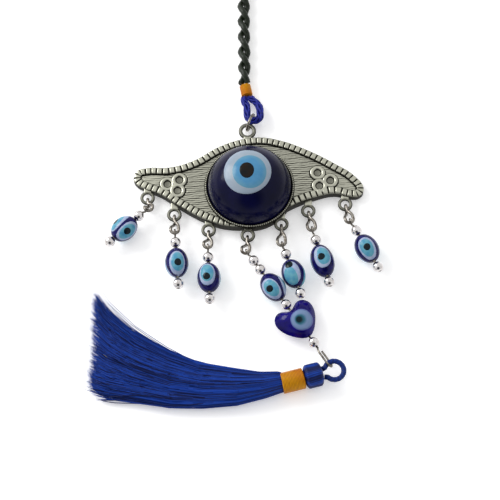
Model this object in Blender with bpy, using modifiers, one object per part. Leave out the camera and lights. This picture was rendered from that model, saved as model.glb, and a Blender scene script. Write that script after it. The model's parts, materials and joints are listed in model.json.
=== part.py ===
"""Evil eye ornament: a cast eye-shaped plate with a glass dome, seven bead dangles,
a silk tassel and a twisted hanging cord, lying face up.

The origin is the centre of the flat back of the dome's cup. +X points right along
the eye, +Y towards the hanging cord and +Z out of the face. Units are metres.
"""
import math

import bmesh
import bpy
from mathutils import Vector

MM = 0.001

# Plate
TIP_HEIGHT = 3.2 * MM
MIDDLE_HEIGHT = 5.0 * MM
HALF_SPAN = 43.8 * MM
BORDER_WIDTH = 2.7 * MM
FIELD_DEPTH = 0.8 * MM
BACK_WALL = 1.6 * MM
BACK_DEPTH = 1.2 * MM
BACK_ROUND_CUP = 17.6 * MM
OUTLINE_MM = [
    (-44.1, 3.9), (-42.9, 7.0), (-39.5, 8.1), (-30.4, 8.2), (-22.0, 10.5), (-11.5, 16.6),
    (-4.0, 19.4), (4.0, 20.5), (12.0, 19.2), (20.3, 16.2), (32.9, 9.7), (40.2, 4.8),
    (43.4, -0.4), (41.9, -3.2), (38.3, -3.8), (32.6, -2.6), (26.3, -3.8), (13.7, -9.2),
    (7.4, -13.3), (0.0, -16.1), (-8.1, -16.3), (-14.3, -14.6), (-26.9, -7.7), (-33.2, -3.3),
    (-39.6, -0.5), (-42.9, 1.5),
]

# Trefoils of three little rings: centres on the left and on the right of the dome
TREFOILS_MM = [
    (-31.8, 1.7), (-27.2, 3.3), (-28.1, -1.4),
    (25.9, 5.8), (30.7, 2.7), (26.5, 0.4),
]
TREFOIL_RADIUS = 2.9 * MM
TREFOIL_HOLE = 1.6 * MM
TREFOIL_DEPTH = 0.6 * MM
TREFOIL_FOOT = 1.6 * MM
TREFOIL_BELOW_BORDER = 0.15 * MM

# Cup, dome and beaded edge
CUP_RADIUS = 16.9 * MM
CUP_FLOOR = 1.2 * MM
CUP_RIM = 3.9 * MM
DOME_RADIUS = 15.8 * MM
DOME_SHOULDER = 4.5 * MM
DOME_RISE = 13.5 * MM
EDGE_INNER = 16.1 * MM
EDGE_OUTER = 16.8 * MM
EDGE_TOP = 5.2 * MM
EDGE_ROUND = 0.22 * MM
GAP = 0.3 * MM
EYE_CENTRE = Vector((-0.5, 0.8, 0.0)) * MM
# Each fused disc: radius, height of its flat underside and how proud of the dome it stands
WHITE_DISC = dict(radius=8.65 * MM, low=14.9 * MM, proud=0.2 * MM)
IRIS_DISC = dict(radius=6.2 * MM, low=16.1 * MM, proud=0.25 * MM)
PUPIL_DISC = dict(radius=2.9 * MM, low=17.1 * MM, proud=0.3 * MM)
# Cutters reach from below the whole part to above it
BELOW_ALL = -2 * MM
ABOVE_ALL = 30 * MM

# Lugs cast on the plate's edge
LUG_Z = 2.2 * MM
LUG_THICKNESS = 1.2 * MM
LUG_RADIUS = 2.8 * MM
LUG_HOLE = 1.6 * MM
LUG_NECK = 2.6 * MM
NECK_LENGTH = 5.5 * MM
TOP_LUG = Vector((-0.8, 24.3, 2.2)) * MM
TOP_LUG_RADIUS = 3.4 * MM
TOP_LUG_HOLE = 1.9 * MM

# Links, pins and beads
LINK_WIRE = 0.6 * MM
LINK_START = 0.6 * MM
LINK_HALF_WIDTH = 1.5 * MM
PIN_WIRE = 0.4 * MM
PIN_EYE = 1.3 * MM
PIN_Z = 4.35 * MM
BEAD_BORE = 0.7 * MM
SILVER_RADIUS = 2.05 * MM
SILVER_END = 1.0 * MM
OVAL_RADIUS = 4.3 * MM
OVAL_END = 1.3 * MM
PIN_TAIL = 0.4 * MM

# Each dangle: lug place, link's lower end from the lug, link angle and pin angle in
# degrees from straight down towards +X, oval bead's length and places along the pin
DANGLES = {
    1: dict(lug=(-38.6, -4.0), link=6.2, turn=8.0, pin=-45.0, oval=11.0, beads=(3.6, 11.0, 18.4)),
    2: dict(lug=(-28.3, -10.9), link=8.4, turn=3.0, pin=4.5, oval=11.6, beads=(3.8, 11.9, 20.2)),
    3: dict(lug=(-15.3, -17.2), link=8.0, turn=-2.0, pin=2.5, oval=11.6, beads=(3.8, 11.9, 20.1)),
    4: dict(lug=(-0.6, -19.3), link=8.2, turn=-7.0, pin=34.3, oval=11.6, beads=()),
    5: dict(lug=(12.0, -14.7), link=9.6, turn=-0.5, pin=18.5, oval=11.4, beads=(3.8, 11.9, 20.0)),
    6: dict(lug=(22.2, -9.3), link=9.0, turn=8.0, pin=15.5, oval=13.0, beads=(4.1, 12.7, 21.3)),
    7: dict(lug=(36.2, -6.6), link=8.6, turn=10.5, pin=27.5, oval=11.6, beads=(3.8, 11.9, 20.2)),
}

# The long middle dangle, as places along its pin
CENTRE_SILVER = {"top_bead_4": 3.8, "second_bead_4": 8.1, "mid_bead_4": 24.8, "heart_end_bead": 42.3}
CENTRE_OVAL_AT = 16.5 * MM
# Half the heart's outline, and the height and scale of its back, waist and face outlines
HEART_CENTRE = 33.0
HEART_HALF_MM = [
    (28.6, 0.0), (26.9, 2.2), (26.2, 4.6), (28.2, 7.1), (32.0, 7.3), (36.4, 4.6), (40.4, 0.0),
]
HEART_LAYERS_MM = [(-3.92, 0.62), (0.0, 1.09), (3.92, 0.62)]
HEART_BORE = (20 * MM, 50 * MM)
BIGHT_AT = 51.6 * MM
BIGHT_RADIUS = 1.7 * MM
BIGHT_TILT = math.radians(60)
BIGHT_SPREAD = 1.6 * MM
TAIL_AT = 44.9 * MM

# Tassel, along its own +X from the middle of its hanging loop
TASSEL_ANGLE = math.radians(194.5)
TASSEL_Z = 4.65 * MM
TASSEL_RING = 3.45 * MM
TASSEL_CORD = 0.85 * MM
TASSEL_CORD_START = math.radians(33)
TASSEL_CORD_END = Vector((4.1, 1.5, 4.35)) * MM
HEAD_SPAN = (4.4, 10.9)
HEAD_RADIUS = 4.6 * MM
WRAP_SPAN = (11.2, 19.7)
WRAP_RADIUS = 3.85 * MM
WRAP_Z = 4.15 * MM
# Skirt sections: distance along, sideways shift, half width and half thickness
SKIRT_MM = [
    (20.0, -0.9, 3.7, 3.7), (26.3, -1.4, 4.7, 3.6), (36.0, -3.4, 6.6, 3.3), (47.5, -6.9, 8.1, 2.9),
    (58.4, -12.2, 10.6, 2.5), (69.0, -18.9, 12.9, 2.2), (77.6, -25.3, 15.4, 1.9), (83.0, -29.8, 16.4, 1.6),
]
SKIRT_SKEW = 0.26
SKIRT_LIFT = 0.05

# Jump ring, thread loop, thread wrap and hanging cord
RING_RADIUS = 3.3 * MM
RING_WIRE = 0.5 * MM
RING_Z = 3.9 * MM
RING_TURN = math.radians(66.0)
RING_IN_LUG = Vector((-0.8, 24.65)) * MM
LOOP_CORD = 1.1 * MM
# The thread loop's legs from the wrap to the ring and back, and its bend round the ring
LOOP_DOWN_MM = [(0.45, 38.95, 2.6), (0.8, 38.0, 2.7), (2.8, 36.3, 3.1), (3.8, 33.9, 3.7)]
LOOP_UP_MM = [(-0.95, 34.0, 3.7), (-2.0, 36.6, 3.0), (-1.95, 38.75, 2.6)]
LOOP_BEND = 2.0
LOOP_Z = 4.1
HANGER_WRAP_MM = (-1.3, 41.8, 2.5)
HANGER_WRAP_HALF = 2.45 * MM
HANGER_WRAP_RADIUS = 2.2 * MM
HANGER_WRAP_LEAN = math.radians(11.5)
HANGING_CORD = 1.2 * MM
TWIST_RADIUS = 1.35
TWIST_TURNS = 3
TWIST_START = (-2.0, 45.15)
TWIST_END = (-2.4, 87.0)
TWIST_Z = 2.65
# Half of the hanging loop past the twist, from the twist's end to the loop's far point
HANGING_LOOP_MM = [(2.6, 91.0, 1.9), (6.2, 97.0, 1.3), (7.9, 104.0, 1.25), (5.0, 110.6, 1.25)]
HANGING_LOOP_END_MM = (0.0, 113.2, 1.25)


# ---------------------------------------------------------------- scene and helpers
for old in list(bpy.data.objects):
    bpy.data.objects.remove(old, do_unlink=True)
parts = bpy.data.collections.new("evil_eye_ornament")
cutters = bpy.data.collections.new("evil_eye_ornament_cutters")
bpy.context.scene.collection.children.link(parts)
bpy.context.scene.collection.children.link(cutters)


def finish(name, colour, roughness, metallic):
    """A Principled material with the piece's own colour and shine."""
    material = bpy.data.materials.new(name)
    material.use_nodes = True
    shader = material.node_tree.nodes["Principled BSDF"]
    shader.inputs["Base Color"].default_value = (*colour, 1.0)
    shader.inputs["Roughness"].default_value = roughness
    shader.inputs["Metallic"].default_value = metallic
    return material


def add(name, data, where=None, material=None, pivot=None):
    """An object in the parts' collection, or a wire-drawn one among the cutters."""
    piece = bpy.data.objects.new(name, data)
    (parts if material or data is None else cutters).objects.link(piece)
    if material:
        data.materials.clear()
        data.materials.append(material)
    elif data is not None:
        piece.hide_render = True
        piece.display_type = "WIRE"
    if where is not None:
        piece.location = where
    piece.parent = pivot
    return piece


def add_pivot(name, where, turn=0.0, pivot=None):
    """An empty on a joint's axis, which the moving pieces hang from."""
    empty = add(name, None, where, pivot=pivot)
    empty.rotation_euler.z = turn
    return empty


def smooth_route(points, steps):
    """Points on one smooth curve through the given ones, with so many steps a span."""
    points = [Vector(point) for point in points]
    last = len(points) - 1
    route = []
    for i in range(last):
        near = [points[min(max(i + k, 0), last)] for k in (-1, 0, 1, 2)]
        for step in range(steps):
            t = step / steps
            route.append(0.5 * (2 * near[1] + (near[2] - near[0]) * t
                                + (2 * near[0] - 5 * near[1] + 4 * near[2] - near[3]) * t * t
                                + (3 * near[1] - near[0] - 3 * near[2] + near[3]) * t ** 3))
    return route + [points[-1]]


def tube(name, points, radius, material, pivot=None, closed=False):
    """A round wire or cord along points in metres."""
    curve = bpy.data.curves.new(name, "CURVE")
    curve.dimensions = "3D"
    curve.bevel_depth = radius
    curve.bevel_resolution = 2
    curve.use_fill_caps = True
    spline = curve.splines.new("POLY")
    spline.points.add(len(points) - 1)
    for knot, place in zip(spline.points, points):
        knot.co = (*place, 1.0)
    spline.use_cyclic_u = closed
    return add(name, curve, None, material, pivot)


def outline_curve(name, points_mm, low, high, inset=0.0, smooth=True):
    """A flat outline in millimetres, drawn in so far and raised from low to high."""
    curve = bpy.data.curves.new(name, "CURVE")
    curve.dimensions = "2D"
    curve.fill_mode = "BOTH"
    curve.extrude = (high - low) / 2
    curve.offset = -inset
    curve.resolution_u = 3
    if smooth:
        spline = curve.splines.new("BEZIER")
        spline.bezier_points.add(len(points_mm) - 1)
        for knot, (x, y) in zip(spline.bezier_points, points_mm):
            knot.co = Vector((x, y, 0.0)) * MM
            knot.handle_left_type = "AUTO"
            knot.handle_right_type = "AUTO"
    else:
        spline = curve.splines.new("POLY")
        spline.points.add(len(points_mm) - 1)
        for knot, (x, y) in zip(spline.points, points_mm):
            knot.co = (x * MM, y * MM, 0.0, 1.0)
    spline.use_cyclic_u = True
    drawn = bpy.data.objects.new(name, curve)
    bpy.context.scene.collection.objects.link(drawn)
    drawn.location.z = (high + low) / 2
    return drawn


def welded(drawn, material=None):
    """The curve object made into one closed mesh object of the same name."""
    bpy.context.view_layer.update()
    evaluated = drawn.evaluated_get(bpy.context.evaluated_depsgraph_get())
    mesh = bpy.data.meshes.new_from_object(evaluated)
    shape = bmesh.new()
    shape.from_mesh(mesh)
    bmesh.ops.remove_doubles(shape, verts=shape.verts, dist=1e-6)
    shape.to_mesh(mesh)
    shape.free()
    name = drawn.name
    place = drawn.matrix_world.copy()
    bpy.data.objects.remove(drawn, do_unlink=True)
    piece = add(name, mesh, None, material)
    piece.matrix_world = place
    return piece


def cylinder(name, where, radius, low, high, sides=24):
    """A round cutter or a round lump to be cast on, standing on +Z."""
    shape = bmesh.new()
    bmesh.ops.create_cone(shape, cap_ends=True, segments=sides, radius1=radius, radius2=radius,
                          depth=high - low)
    mesh = bpy.data.meshes.new(name)
    shape.to_mesh(mesh)
    shape.free()
    return add(name, mesh, (where[0], where[1], (high + low) / 2))


def block(name, where, size):
    """A box-shaped lump to be cast on."""
    shape = bmesh.new()
    bmesh.ops.create_cube(shape, size=1.0)
    bmesh.ops.scale(shape, vec=size, verts=shape.verts)
    mesh = bpy.data.meshes.new(name)
    shape.to_mesh(mesh)
    shape.free()
    return add(name, mesh, where)


def boolean(piece, other, operation):
    """One exact Boolean step of a piece with another object."""
    step = piece.modifiers.new(other.name, "BOOLEAN")
    step.object = other
    step.operation = operation
    step.solver = "EXACT"


def turned(name, profile, sides, material, where=None, pivot=None):
    """A closed profile of (radius, height) pairs, outer side first, spun about Z."""
    shape = bmesh.new()
    ring = [shape.verts.new((radius, 0.0, height)) for radius, height in profile]
    for a, b in zip(ring, ring[1:]):
        shape.edges.new((a, b))
    if profile[0][0] > 0 or profile[-1][0] > 0:
        shape.edges.new((ring[-1], ring[0]))
    mesh = bpy.data.meshes.new(name)
    shape.to_mesh(mesh)
    shape.free()
    piece = add(name, mesh, where, material, pivot)
    spin = piece.modifiers.new("spin", "SCREW")
    spin.steps = sides
    spin.render_steps = sides
    spin.use_smooth_shade = True
    spin.use_merge_vertices = True
    spin.merge_threshold = 0.00001
    return piece


def lay_along_x(piece):
    """Turns a piece made about Z so that its +Z end points along its parent's +X."""
    piece.rotation_euler.y = math.radians(90)


# ---------------------------------------------------------------- finishes
silver = finish("antique_silver", (0.52, 0.52, 0.48), 0.35, 1.0)
bright_silver = finish("bright_silver", (0.80, 0.79, 0.80), 0.12, 1.0)
wire_silver = finish("wire_silver", (0.55, 0.54, 0.50), 0.25, 1.0)
navy_glass = finish("navy_glass", (0.01, 0.01, 0.09), 0.06, 0.0)
white_glass = finish("white_glass", (0.62, 0.72, 0.78), 0.10, 0.0)
sky_glass = finish("sky_glass", (0.11, 0.38, 0.66), 0.10, 0.0)
black_glass = finish("black_glass", (0.01, 0.015, 0.03), 0.06, 0.0)
bead_glass = finish("bead_glass", (0.01, 0.01, 0.13), 0.08, 0.0)
heart_glass = finish("heart_glass", (0.03, 0.01, 0.25), 0.10, 0.0)
blue_silk = finish("blue_silk", (0.01, 0.05, 0.38), 0.55, 0.0)
loop_silk = finish("loop_silk", (0.01, 0.015, 0.32), 0.50, 0.0)
yellow_thread = finish("yellow_thread", (0.80, 0.33, 0.01), 0.50, 0.0)
black_cord = finish("black_cord", (0.012, 0.02, 0.014), 0.45, 0.0)


# ---------------------------------------------------------------- plate
def crown_height(x):
    """Height of the border's top at a distance x from the middle."""
    return TIP_HEIGHT + (MIDDLE_HEIGHT - TIP_HEIGHT) * (1 - (x / HALF_SPAN) ** 2)


def crown_solid(name, lowered):
    """Everything below the plate's gently crowned top, lowered by so much."""
    reach, foot, steps = 48.0, -6.0, 16
    xs = [reach - 2 * reach * i / steps for i in range(steps + 1)]
    profile = [(-reach, foot), (reach, foot)]
    profile += [(x, (crown_height(x * MM) - lowered) / MM) for x in xs]
    drawn = outline_curve(name, profile, -ABOVE_ALL, ABOVE_ALL, smooth=False)
    drawn.rotation_euler.x = math.radians(90)
    return welded(drawn)


def cast_lug(name, place, radius):
    """A flat round ear and the neck that joins it to the plate, before its hole."""
    low, high = LUG_Z - LUG_THICKNESS / 2, LUG_Z + LUG_THICKNESS / 2
    ear = cylinder(name + "_ear", place, radius, low, high, 18)
    side = -1 if place[1] > 0 else 1
    middle = (place[0], place[1] + side * NECK_LENGTH / 2, LUG_Z)
    neck = block(name + "_neck", middle, (LUG_NECK, NECK_LENGTH, LUG_THICKNESS * 0.98))
    return [ear, neck]


def build_eye_frame():
    frame = welded(outline_curve("eye_frame", OUTLINE_MM, 0.0, ABOVE_ALL), silver)
    boolean(frame, crown_solid("crown", 0.0), "INTERSECT")

    field = welded(outline_curve("field", OUTLINE_MM, BACK_DEPTH, ABOVE_ALL, BORDER_WIDTH))
    boolean(field, crown_solid("field_floor", FIELD_DEPTH), "DIFFERENCE")
    boolean(frame, field, "DIFFERENCE")

    back = welded(outline_curve("back", OUTLINE_MM, BELOW_ALL, BACK_DEPTH, BACK_WALL))
    back_cup = cylinder("back_cup", (0, 0), BACK_ROUND_CUP, 2 * BELOW_ALL, 2 * BACK_DEPTH, 48)
    boolean(back, back_cup, "DIFFERENCE")
    boolean(frame, back, "DIFFERENCE")

    boolean(frame, cylinder("cup", (0, 0), CUP_RADIUS, 0.0, CUP_RIM, 48), "UNION")
    cuts = [
        cylinder("dome_seat", (0, 0), DOME_RADIUS + GAP, CUP_FLOOR, ABOVE_ALL, 48),
        cylinder("edge_seat", (0, 0), EDGE_OUTER + GAP, CUP_RIM, ABOVE_ALL, 48),
        cylinder("top_lug_hole", TOP_LUG, TOP_LUG_HOLE, BELOW_ALL, ABOVE_ALL, 14),
    ]
    for i, (x, y) in enumerate(TREFOILS_MM):
        place = (x * MM, y * MM)
        top = crown_height(x * MM) - TREFOIL_BELOW_BORDER
        ring = cylinder(f"trefoil_{i}", place, TREFOIL_RADIUS, TREFOIL_FOOT, top, 16)
        boolean(frame, ring, "UNION")
        cuts.append(cylinder(f"trefoil_hole_{i}", place, TREFOIL_HOLE, top - TREFOIL_DEPTH, ABOVE_ALL, 12))
    for number, dangle in DANGLES.items():
        place = [value * MM for value in dangle["lug"]]
        for lump in cast_lug(f"lug_{number}", place, LUG_RADIUS):
            boolean(frame, lump, "UNION")
        cuts.append(cylinder(f"lug_hole_{number}", place, LUG_HOLE, BELOW_ALL, ABOVE_ALL, 14))
    for lump in cast_lug("top_lug", TOP_LUG, TOP_LUG_RADIUS):
        boolean(frame, lump, "UNION")
    for cut in cuts:
        boolean(frame, cut, "DIFFERENCE")


# ---------------------------------------------------------------- dome and its eye
def dome_height(radius):
    """Height of the dome's surface at a distance from its axis."""
    return DOME_SHOULDER + DOME_RISE * math.sqrt(max(0.0, 1 - (radius / DOME_RADIUS) ** 2))


def fused_disc(name, disc, material):
    """A glass disc with a flat underside and a top that follows the dome."""
    steps = 5
    radii = [disc["radius"] * i / steps for i in range(steps + 1)]
    profile = [(radius, dome_height(radius) + disc["proud"]) for radius in radii]
    profile += [(disc["radius"], disc["low"]), (0.0, disc["low"])]
    return turned(name, profile, 24, material, EYE_CENTRE)


def seat_for(name, disc):
    """The round recess a fused disc drops into."""
    return cylinder(name, EYE_CENTRE, disc["radius"] + GAP, disc["low"] - GAP, ABOVE_ALL, 28)


def build_dome():
    steps = 9
    base = CUP_FLOOR + GAP
    turns = [math.pi / 2 * i / steps for i in range(steps + 1)]
    profile = [(DOME_RADIUS * math.sin(turn), DOME_SHOULDER + DOME_RISE * math.cos(turn)) for turn in turns]
    profile += [(DOME_RADIUS, base), (0.0, base)]
    dome = turned("glass_dome", profile, 40, navy_glass)
    boolean(dome, seat_for("white_seat", WHITE_DISC), "DIFFERENCE")
    white = fused_disc("dome_white", WHITE_DISC, white_glass)
    boolean(white, seat_for("iris_seat", IRIS_DISC), "DIFFERENCE")
    iris = fused_disc("dome_iris", IRIS_DISC, sky_glass)
    boolean(iris, seat_for("pupil_seat", PUPIL_DISC), "DIFFERENCE")
    fused_disc("dome_pupil", PUPIL_DISC, black_glass)
    low, shoulder = CUP_RIM + GAP, EDGE_TOP - EDGE_ROUND
    edge = [(EDGE_INNER, shoulder), (EDGE_INNER + EDGE_ROUND, EDGE_TOP), (EDGE_OUTER, shoulder),
            (EDGE_OUTER, low), (EDGE_INNER, low)]
    turned("bezel_ring", edge, 36, silver)


# ---------------------------------------------------------------- dangles
def bead_profile(radius, half_length, arc_steps, end_radius):
    """Outer side of an oval bead from top to bottom, closed by its bore."""
    end = math.acos(end_radius / radius)
    angles = [end - 2 * end * i / arc_steps for i in range(arc_steps + 1)]
    outer = [(radius * math.cos(a), half_length * math.sin(a)) for a in angles]
    return [(BEAD_BORE, outer[0][1])] + outer + [(BEAD_BORE, outer[-1][1])]


def silver_bead(name, along, pivot):
    profile = bead_profile(SILVER_RADIUS, SILVER_RADIUS, 5, SILVER_END)
    lay_along_x(turned(name, profile, 10, bright_silver, (along, 0, 0), pivot))


def oval_bead(name, along, length, pivot):
    profile = bead_profile(OVAL_RADIUS, length * MM / 2, 7, OVAL_END)
    lay_along_x(turned(name, profile, 14, bead_glass, (along, 0, 0), pivot))


def link_route(length):
    """A closed oval link in metres, turned a quarter from upright to flat on its way
    down and rising from the lug's height to the pin's."""
    half, start = LINK_HALF_WIDTH, LINK_START
    corner_steps, side_steps = 5, 3
    flat = []
    for i in range(corner_steps + 1):
        angle = math.pi / 2 + math.pi * i / corner_steps
        flat.append((start + half + half * math.cos(angle), half * math.sin(angle)))
    straight = length - start - 2 * half
    for i in range(1, side_steps):
        flat.append((start + half + straight * i / side_steps, -half))
    for i in range(corner_steps + 1):
        angle = -math.pi / 2 + math.pi * i / corner_steps
        flat.append((length - half + half * math.cos(angle), half * math.sin(angle)))
    for i in range(side_steps - 1, 0, -1):
        flat.append((start + half + straight * i / side_steps, half))
    first, last = LUG_RADIUS, length - half * 1.1
    route = []
    for along, across in flat:
        t = min(max((along - first) / (last - first), 0.0), 1.0)
        eased = t * t * (3 - 2 * t)
        angle = math.pi / 2 * (1 - eased)
        rise = eased * (PIN_Z - LUG_Z)
        route.append((along, across * math.cos(angle), across * math.sin(angle) + rise))
    return route


def pin_eye_route():
    """The open eye at a pin's top, in the upright plane along the pin."""
    angles = [math.radians(62 + 34 * i) for i in range(9)]
    route = [(PIN_EYE * math.cos(a), 0.0, PIN_EYE * math.sin(a)) for a in angles]
    return route + [(1.5 * MM, 0.0, -0.12 * MM), (1.95 * MM, 0.0, 0.0)]


def build_link(number, dangle):
    """The link on its lug, and the pivot at the link's lower end where a pin hooks in."""
    x, y = dangle["lug"]
    length = dangle["link"] * MM
    turn = math.radians(dangle["turn"] - 90)
    hinge = add_pivot(f"link_{number}_pivot", (x * MM, y * MM, LUG_Z), turn)
    tube(f"link_{number}", link_route(length), LINK_WIRE, wire_silver, hinge, closed=True)
    bend = math.radians(dangle["pin"] - dangle["turn"])
    middle = length - LINK_HALF_WIDTH
    hook = (middle + LINK_HALF_WIDTH * math.cos(bend), LINK_HALF_WIDTH * math.sin(bend), PIN_Z - LUG_Z)
    return add_pivot(f"pin_{number}_pivot", hook, bend, hinge)


def build_dangle(number, dangle):
    hook = build_link(number, dangle)
    top, oval, end = (place * MM for place in dangle["beads"])
    tail = end + SILVER_RADIUS + PIN_TAIL
    route = pin_eye_route() + [(tail / 2, 0, 0), (tail, 0, 0)]
    tube(f"pin_{number}", route, PIN_WIRE, wire_silver, hook)
    silver_bead(f"top_bead_{number}", top, hook)
    oval_bead(f"eye_bead_{number}", oval, dangle["oval"], hook)
    silver_bead(f"end_bead_{number}", end, hook)


def heart_cage(hook):
    """A puffed heart from a coarse cage of three outlines and two faces."""
    outline = HEART_HALF_MM + [(x, -y) for x, y in reversed(HEART_HALF_MM[1:-1])]
    shape = bmesh.new()
    rings = []
    for height, scale in HEART_LAYERS_MM:
        places = [(HEART_CENTRE + (x - HEART_CENTRE) * scale, y * scale, height) for x, y in outline]
        rings.append([shape.verts.new(Vector(place) * MM) for place in places])
    count = len(outline)
    for low, high in zip(rings, rings[1:]):
        for i in range(count):
            j = (i + 1) % count
            shape.faces.new((low[i], low[j], high[j], high[i]))
    shape.faces.new(rings[-1])
    shape.faces.new(list(reversed(rings[0])))
    bmesh.ops.recalc_face_normals(shape, faces=shape.faces)
    mesh = bpy.data.meshes.new("heart_bead")
    shape.to_mesh(mesh)
    shape.free()
    mesh.shade_smooth()
    heart = add("heart_bead", mesh, (0, 0, 0), heart_glass, hook)
    rounding = heart.modifiers.new("rounding", "SUBSURF")
    rounding.levels = 2
    rounding.render_levels = 2
    bore = cylinder("heart_bore", (0, 0), BEAD_BORE, *HEART_BORE, 12)
    bore.parent = hook
    bore.location = (sum(HEART_BORE) / 2, 0, 0)
    lay_along_x(bore)
    boolean(heart, bore, "DIFFERENCE")


def centre_pin_route():
    """Eye, straight shaft, and a long doubled end that turns back round the tassel's loop."""
    across = BIGHT_RADIUS * math.cos(BIGHT_TILT)
    rise = BIGHT_RADIUS * math.sin(BIGHT_TILT)
    route = pin_eye_route() + [(TAIL_AT / 2, 0, 0), (TAIL_AT, 0, 0)]
    route.append((TAIL_AT + BIGHT_SPREAD, -across, rise))
    for i in range(7):
        angle = math.pi / 2 - math.pi * i / 6
        reach = BIGHT_AT + BIGHT_RADIUS * math.cos(angle)
        share = math.sin(angle)
        route.append((reach, -across * share, rise * share))
    route.append((TAIL_AT + BIGHT_SPREAD, across, -rise))
    return route


def build_centre_dangle():
    dangle = DANGLES[4]
    hook = build_link(4, dangle)
    tube("pin_4", centre_pin_route(), PIN_WIRE, wire_silver, hook)
    for name, along in CENTRE_SILVER.items():
        silver_bead(name, along * MM, hook)
    oval_bead("eye_bead_4", CENTRE_OVAL_AT, dangle["oval"], hook)
    heart_cage(hook)
    return hook


# ---------------------------------------------------------------- tassel
def barrel(name, span, radius, waist, material, pivot, height):
    """A solid turned barrel along +X, a little fuller or slimmer in the middle."""
    low, high = (end * MM for end in span)
    half = (high - low) / 2
    steps = 6
    outer = []
    for i in range(steps + 1):
        t = 1 - 2 * i / steps
        outer.append((radius * (1 - waist * t ** 4), half * t))
    profile = [(0.0, half)] + outer + [(0.0, -half)]
    lay_along_x(turned(name, profile, 18, material, ((low + high) / 2, 0, height), pivot))


def build_skirt(pivot):
    """Threads as one flattened fan, lofted between oval sections."""
    sides = 14
    shape = bmesh.new()
    rings = []
    for step, (along, shift, half_width, half_thick) in enumerate(SKIRT_MM):
        share = step / (len(SKIRT_MM) - 1)
        ring = []
        for i in range(sides):
            angle = 2 * math.pi * i / sides
            across = half_width * math.cos(angle)
            rise = half_thick * (1 + math.sin(angle)) + SKIRT_LIFT
            place = Vector((along + SKIRT_SKEW * share * across, shift + across, rise))
            ring.append(shape.verts.new(place * MM))
        rings.append(ring)
    for near, far in zip(rings, rings[1:]):
        for i in range(sides):
            j = (i + 1) % sides
            shape.faces.new((near[i], near[j], far[j], far[i]))
    shape.faces.new(rings[-1])
    shape.faces.new(list(reversed(rings[0])))
    bmesh.ops.recalc_face_normals(shape, faces=shape.faces)
    mesh = bpy.data.meshes.new("tassel_skirt")
    shape.to_mesh(mesh)
    shape.free()
    mesh.shade_smooth()
    add("tassel_skirt", mesh, (0, 0, 0), blue_silk, pivot)


def build_tassel(hook):
    pin_angle = math.radians(DANGLES[4]["pin"] - 90)
    hang_from = (BIGHT_AT + TASSEL_RING, 0.0, -PIN_Z)
    hinge = add_pivot("tassel_pivot", hang_from, TASSEL_ANGLE - pin_angle, hook)
    steps = 18
    ring = [TASSEL_CORD_END]
    for i in range(steps + 1):
        angle = TASSEL_CORD_START + (2 * math.pi - 2 * TASSEL_CORD_START) * i / steps
        ring.append((TASSEL_RING * math.cos(angle), TASSEL_RING * math.sin(angle), PIN_Z))
    ring.append(TASSEL_CORD_END * Vector((1, -1, 1)))
    tube("tassel_loop", ring, TASSEL_CORD, blue_silk, hinge)
    barrel("tassel_head", HEAD_SPAN, HEAD_RADIUS, 0.22, blue_silk, hinge, TASSEL_Z)
    barrel("tassel_wrap", WRAP_SPAN, WRAP_RADIUS, 0.06, yellow_thread, hinge, WRAP_Z)
    build_skirt(hinge)


# ---------------------------------------------------------------- ring and hanger
def hanging_route():
    """Both legs of the hanging cord, twisted round each other, and the loop at their end,
    in millimetres: up the right leg, round the loop and down the left one."""
    quarter_turns = 4 * TWIST_TURNS
    up = []
    down = []
    for i in range(quarter_turns + 1):
        share = i / quarter_turns
        angle = 2 * math.pi * TWIST_TURNS * share
        x = TWIST_START[0] + (TWIST_END[0] - TWIST_START[0]) * share
        y = TWIST_START[1] + (TWIST_END[1] - TWIST_START[1]) * share
        across, rise = TWIST_RADIUS * math.cos(angle), TWIST_RADIUS * math.sin(angle)
        up.append((x + across, y, TWIST_Z + rise))
        down.append((x - across, y, TWIST_Z - rise))
    middle = TWIST_END[0]
    right = [(middle + x, y, z) for x, y, z in HANGING_LOOP_MM]
    left = [(middle - x, y, z) for x, y, z in reversed(HANGING_LOOP_MM)]
    far = (middle + HANGING_LOOP_END_MM[0], HANGING_LOOP_END_MM[1], HANGING_LOOP_END_MM[2])
    return up + right + [far] + left + list(reversed(down))


def build_hanger():
    along = Vector((math.cos(RING_TURN), math.sin(RING_TURN)))
    dip = TOP_LUG.z - RING_Z
    centre = RING_IN_LUG + along * math.sqrt(RING_RADIUS ** 2 - dip ** 2)
    ring_pivot = add_pivot("top_ring_pivot", TOP_LUG)
    steps = 20
    ring = []
    for i in range(steps):
        angle = 2 * math.pi * i / steps
        flat = centre + along * RING_RADIUS * math.cos(angle) - TOP_LUG.xy
        ring.append((flat.x, flat.y, RING_Z + RING_RADIUS * math.sin(angle) - TOP_LUG.z))
    tube("top_ring", ring, RING_WIRE, wire_silver, ring_pivot, closed=True)

    turn_at = (centre + along * RING_RADIUS).to_3d()
    hanger = add_pivot("hanger_pivot", turn_at - TOP_LUG, 0.0, ring_pivot)
    bend = []
    for i in range(5):
        angle = -math.pi / 4 * i
        offset = Vector((math.cos(angle), math.sin(angle), 0.0)) * LOOP_BEND
        bend.append(turn_at / MM + offset + Vector((0.0, 0.0, LOOP_Z)))
    route = smooth_route(LOOP_DOWN_MM + bend + LOOP_UP_MM, 2)
    tube("hanger_loop", [point * MM - turn_at for point in route], LOOP_CORD, loop_silk, hanger)

    half, radius = HANGER_WRAP_HALF, HANGER_WRAP_RADIUS
    profile = [(0.0, half), (radius * 0.93, half), (radius, half * 0.7)]
    profile += [(spread, -along) for spread, along in reversed(profile)]
    place = Vector(HANGER_WRAP_MM) * MM - turn_at
    wrap = turned("hanger_wrap", profile, 18, yellow_thread, place, hanger)
    wrap.rotation_euler = (math.radians(-90), 0.0, HANGER_WRAP_LEAN)

    cord = [point * MM - turn_at for point in smooth_route(hanging_route(), 2)]
    tube("hanger_cord", cord, HANGING_CORD, black_cord, hanger)


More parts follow.
